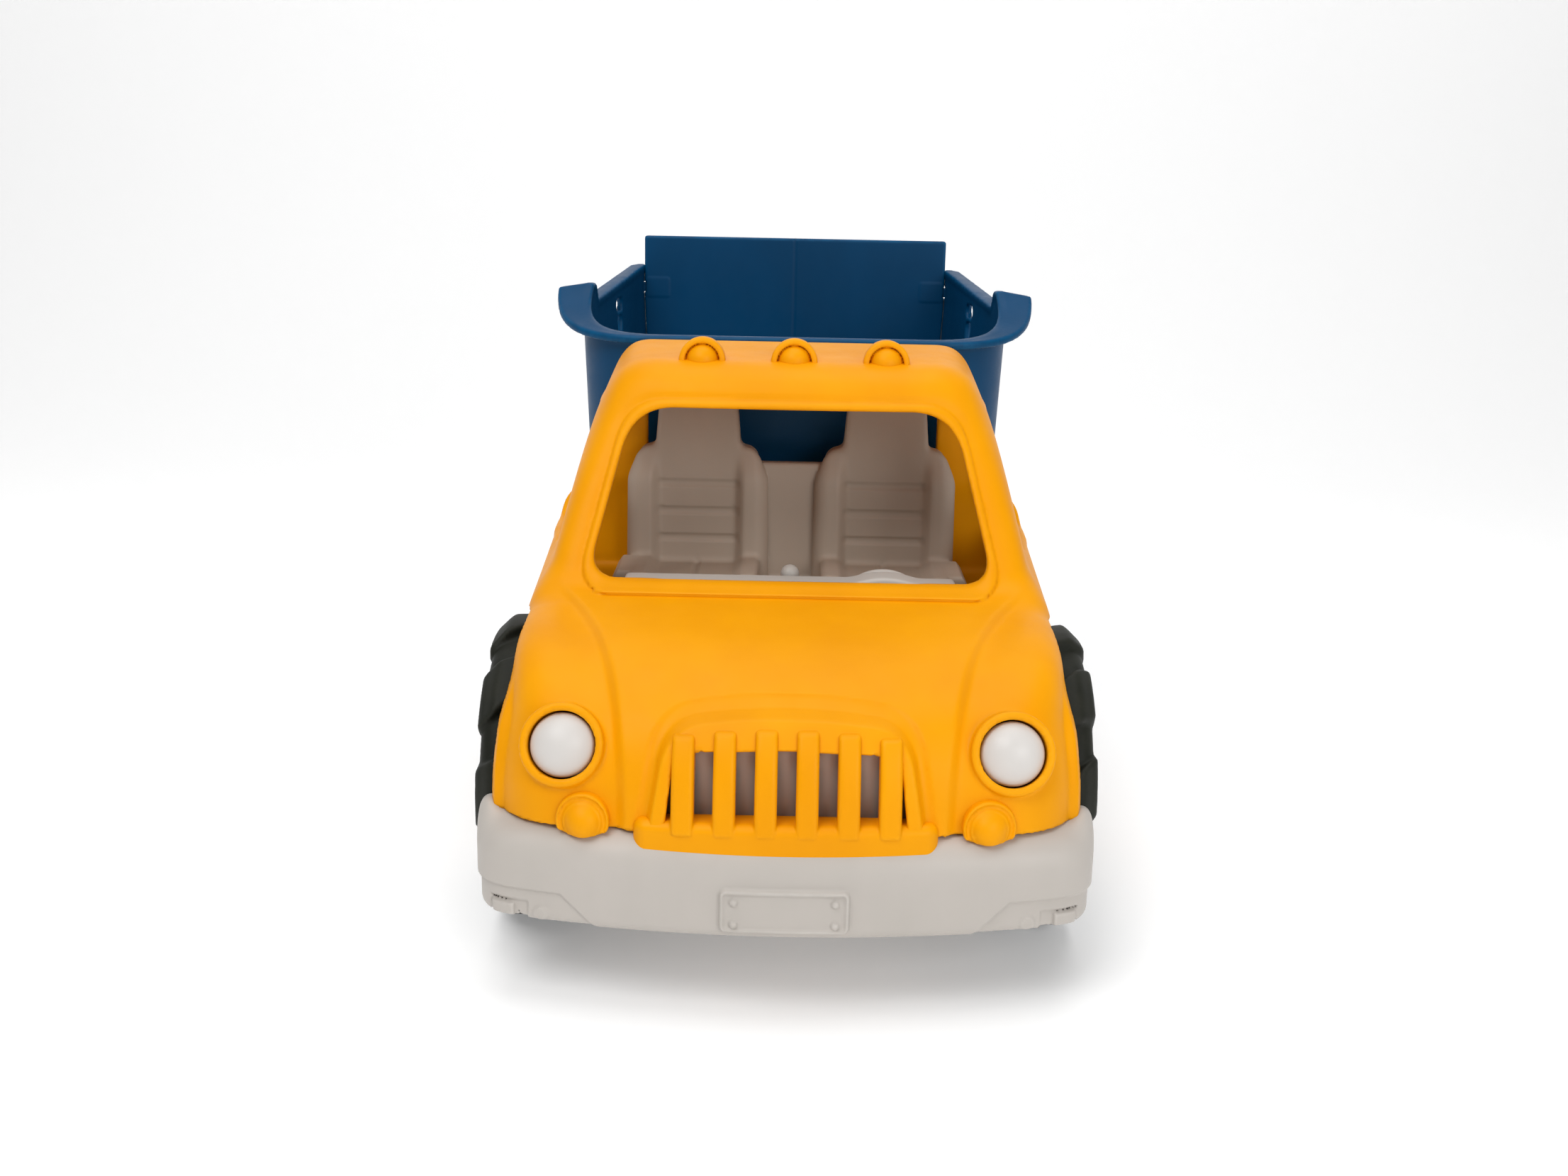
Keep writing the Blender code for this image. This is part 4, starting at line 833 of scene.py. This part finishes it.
def add_truck(materials):
    """Every piece with its field, the box that holds it, its mesh's step, and the CAD nodes it replaces."""
    kinds = ("orange", "blue", "grey", "seat", "lamp")
    orange, blue, grey, seat, lamp = (materials[f"{kind}_plastic"] for kind in kinds)

    def add(name, field, half, low, high, step, body, material, *nodes):
        """Adds a piece that reaches as far to one side as to the other."""
        piece(name, field, (-half, *low), (half, *high), step, body, material, *nodes)

    add("cab_body", cab_field, 99.5, (3.0, 59.0), (198.0, 195.0), 0.95, "truck", orange, "cab_shell")
    add("cab_grille", grille_field, 48.0, (3.0, 48.0), (40.0, 93.0), 0.6, "truck", orange)
    add("fog_lamps", fog_lamp_field, 72.5, (3.0, 50.0), (26.0, 70.0), 0.5, "truck", orange)
    add("roof_lamps", roof_lamp_field, 43.5, (138.0, 185.0), (166.0, 200.0), 0.5, "truck", orange)
    for hand, side in (("right", -1), ("left", 1)):
        inner, outer = sorted((side * 59.0, side * 82.0))
        low, high = (inner, 8.0, 72.0), (outer, 32.0, 97.0)
        name = f"headlamp_{hand}"
        piece(f"{name}_lens", headlamp_field(side), low, high, 0.5, "truck", lamp, name)
    add("bumper", bumper_field, 99.5, (-0.8, 28.0), (36.5, 62.8), 0.7, "truck", grey)
    add("chassis_frame", frame_field, 91.5, (17.5, 37.5), (331.0, 99.0), 1.1, "truck", grey, "chassis")
    # the seats get the grey with painted shade and painted orange bounce light
    add("seats", seat_field, 69.0, (104.0, 71.5), (189.0, 176.5), 0.9, "truck", seat, "seat_unit")
    add("dash", dashboard_field, 61.0, (104.0, 81.0), (127.0, 122.0), 0.6, "truck", grey, "dashboard")
    add("gear_knob", lever_field, 4.0, (132.0, 92.0), (140.0, 116.0), 0.35, "truck", grey, "gear_lever")
    low, high = (18.0, 114.0, 87.0), (50.0, 137.0, 121.0)
    piece("wheel_ring", steering_field, low, high, 0.45, "steering", grey, "steering_wheel")
    add("bed_tub", bed_field, 101.0, (203.0, 71.5), (341.0, 214.0), 0.95, "bed", blue, "dump_bed")
    add("bed_gate", tailgate_field, 72.0, (336.5, 111.0), (345.5, 226.5), 0.7, "gate", blue, "tailgate")
    pins = ("tailgate_pin_right", "tailgate_pin_left")
    add("gate_pins", pins_field, 78.0, (337.5, 199.5), (341.5, 204.5), 0.4, "bed", blue, *pins)
    add_wheels(materials)


def dress_cad(frame, materials):
    """The small CAD pieces that are shown as they are get their finish here."""
    for name, node in frame["nodes"].items():
        if node.hide_render:
            continue
        slot = "steel" if "screw" in name or "axle" in name or "hinge" in name else "grey_plastic"
        node.data.materials.clear()
        node.data.materials.append(materials[slot])


# Stage ----------------------------------------------------------------------


def add_floor():
    """White paper, which curves up into a wall behind the truck."""
    size, lift, reach, bend, steps = 8.0, 1.6, 1.3, 0.6, 16
    rows = [(-size, 0.0), (reach - bend, 0.0)]
    for k in range(1, steps + 1):
        angle = math.pi / 2 * k / steps
        rows.append((reach - bend + bend * math.sin(angle), bend - bend * math.cos(angle)))
    rows.append((reach, lift + bend))
    points = [(x, y, z) for y, z in rows for x in (-size, size)]
    faces = [(2 * k, 2 * k + 1, 2 * k + 3, 2 * k + 2) for k in range(len(rows) - 1)]
    mesh = bpy.data.meshes.new("floor")
    mesh.from_pydata(points, [], faces)
    mesh.shade_smooth()
    made = bpy.data.objects.new("floor", mesh)
    bpy.context.scene.collection.objects.link(made)
    paper = Shader("studio_paper")
    speck = paper.noise(160.0, 3.0, 0.6)
    paper.set(Base_Color=paper.mix(speck, (0.86, 0.86, 0.86), (0.90, 0.90, 0.90)), Roughness=0.9)
    paper.set(Emission_Color=(1.0, 1.0, 1.0), Emission_Strength=0.2)
    mesh.materials.append(paper.material)


def add_light(name, place, target, size, power):
    data = bpy.data.lights.new(name, "AREA")
    data.shape = "RECTANGLE"
    data.size, data.size_y = size
    data.energy = power
    made = bpy.data.objects.new(name, data)
    made.location = place
    made.rotation_euler = (Vector(target) - Vector(place)).to_track_quat("-Z", "Y").to_euler()
    bpy.context.scene.collection.objects.link(made)


def add_world():
    """Even white light from all round, and colours shown as they are."""
    world = bpy.data.worlds.new("studio")
    world.use_nodes = True
    background = world.node_tree.nodes["Background"]
    background.inputs["Color"].default_value = (1.0, 1.0, 1.0, 1.0)
    background.inputs["Strength"].default_value = 0.25
    bpy.context.scene.world = world
    bpy.context.scene.view_settings.view_transform = "Standard"


def add_camera():
    data = bpy.data.cameras.new("camera")
    data.sensor_width = 36.0
    data.lens = 38.62
    data.clip_start, data.clip_end = 0.02, 20.0
    made = bpy.data.objects.new("camera", data)
    tilt_down, turn = 14.38, 1.17
    look = Matrix.Rotation(math.radians(90 - tilt_down), 4, "X")
    roll = Matrix.Rotation(math.radians(turn), 4, "Z")
    made.matrix_world = Matrix.Translation((-0.0021, -0.6486, 0.2635)) @ look @ roll
    bpy.context.scene.collection.objects.link(made)
    bpy.context.scene.camera = made


def main():
    for stale in list(bpy.data.objects):
        bpy.data.objects.remove(stale)
    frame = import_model()
    for imported in bpy.data.materials:
        imported.name = "cad_" + imported.name
    materials = {name: plastic(name, *looks) for name, looks in PLASTICS.items()}
    materials["black_rubber"] = rubber("black_rubber", (0.009, 0.010, 0.006), (0.030, 0.030, 0.022))
    materials["steel"] = metal("steel", (0.62, 0.61, 0.60))
    add_truck(materials)
    dress_cad(frame, materials)
    add_floor()
    add_world()
    add_light("key", (-0.5, -0.9, 1.3), (0, -0.05, 0.08), (0.9, 0.7), 11.0)
    add_light("fill", (0.7, -1.2, 0.6), (0, 0, 0.08), (0.8, 0.6), 7.0)
    add_light("top", (0.0, 0.05, 1.6), (0, 0, 0), (1.2, 1.2), 11.0)
    add_camera()


main()
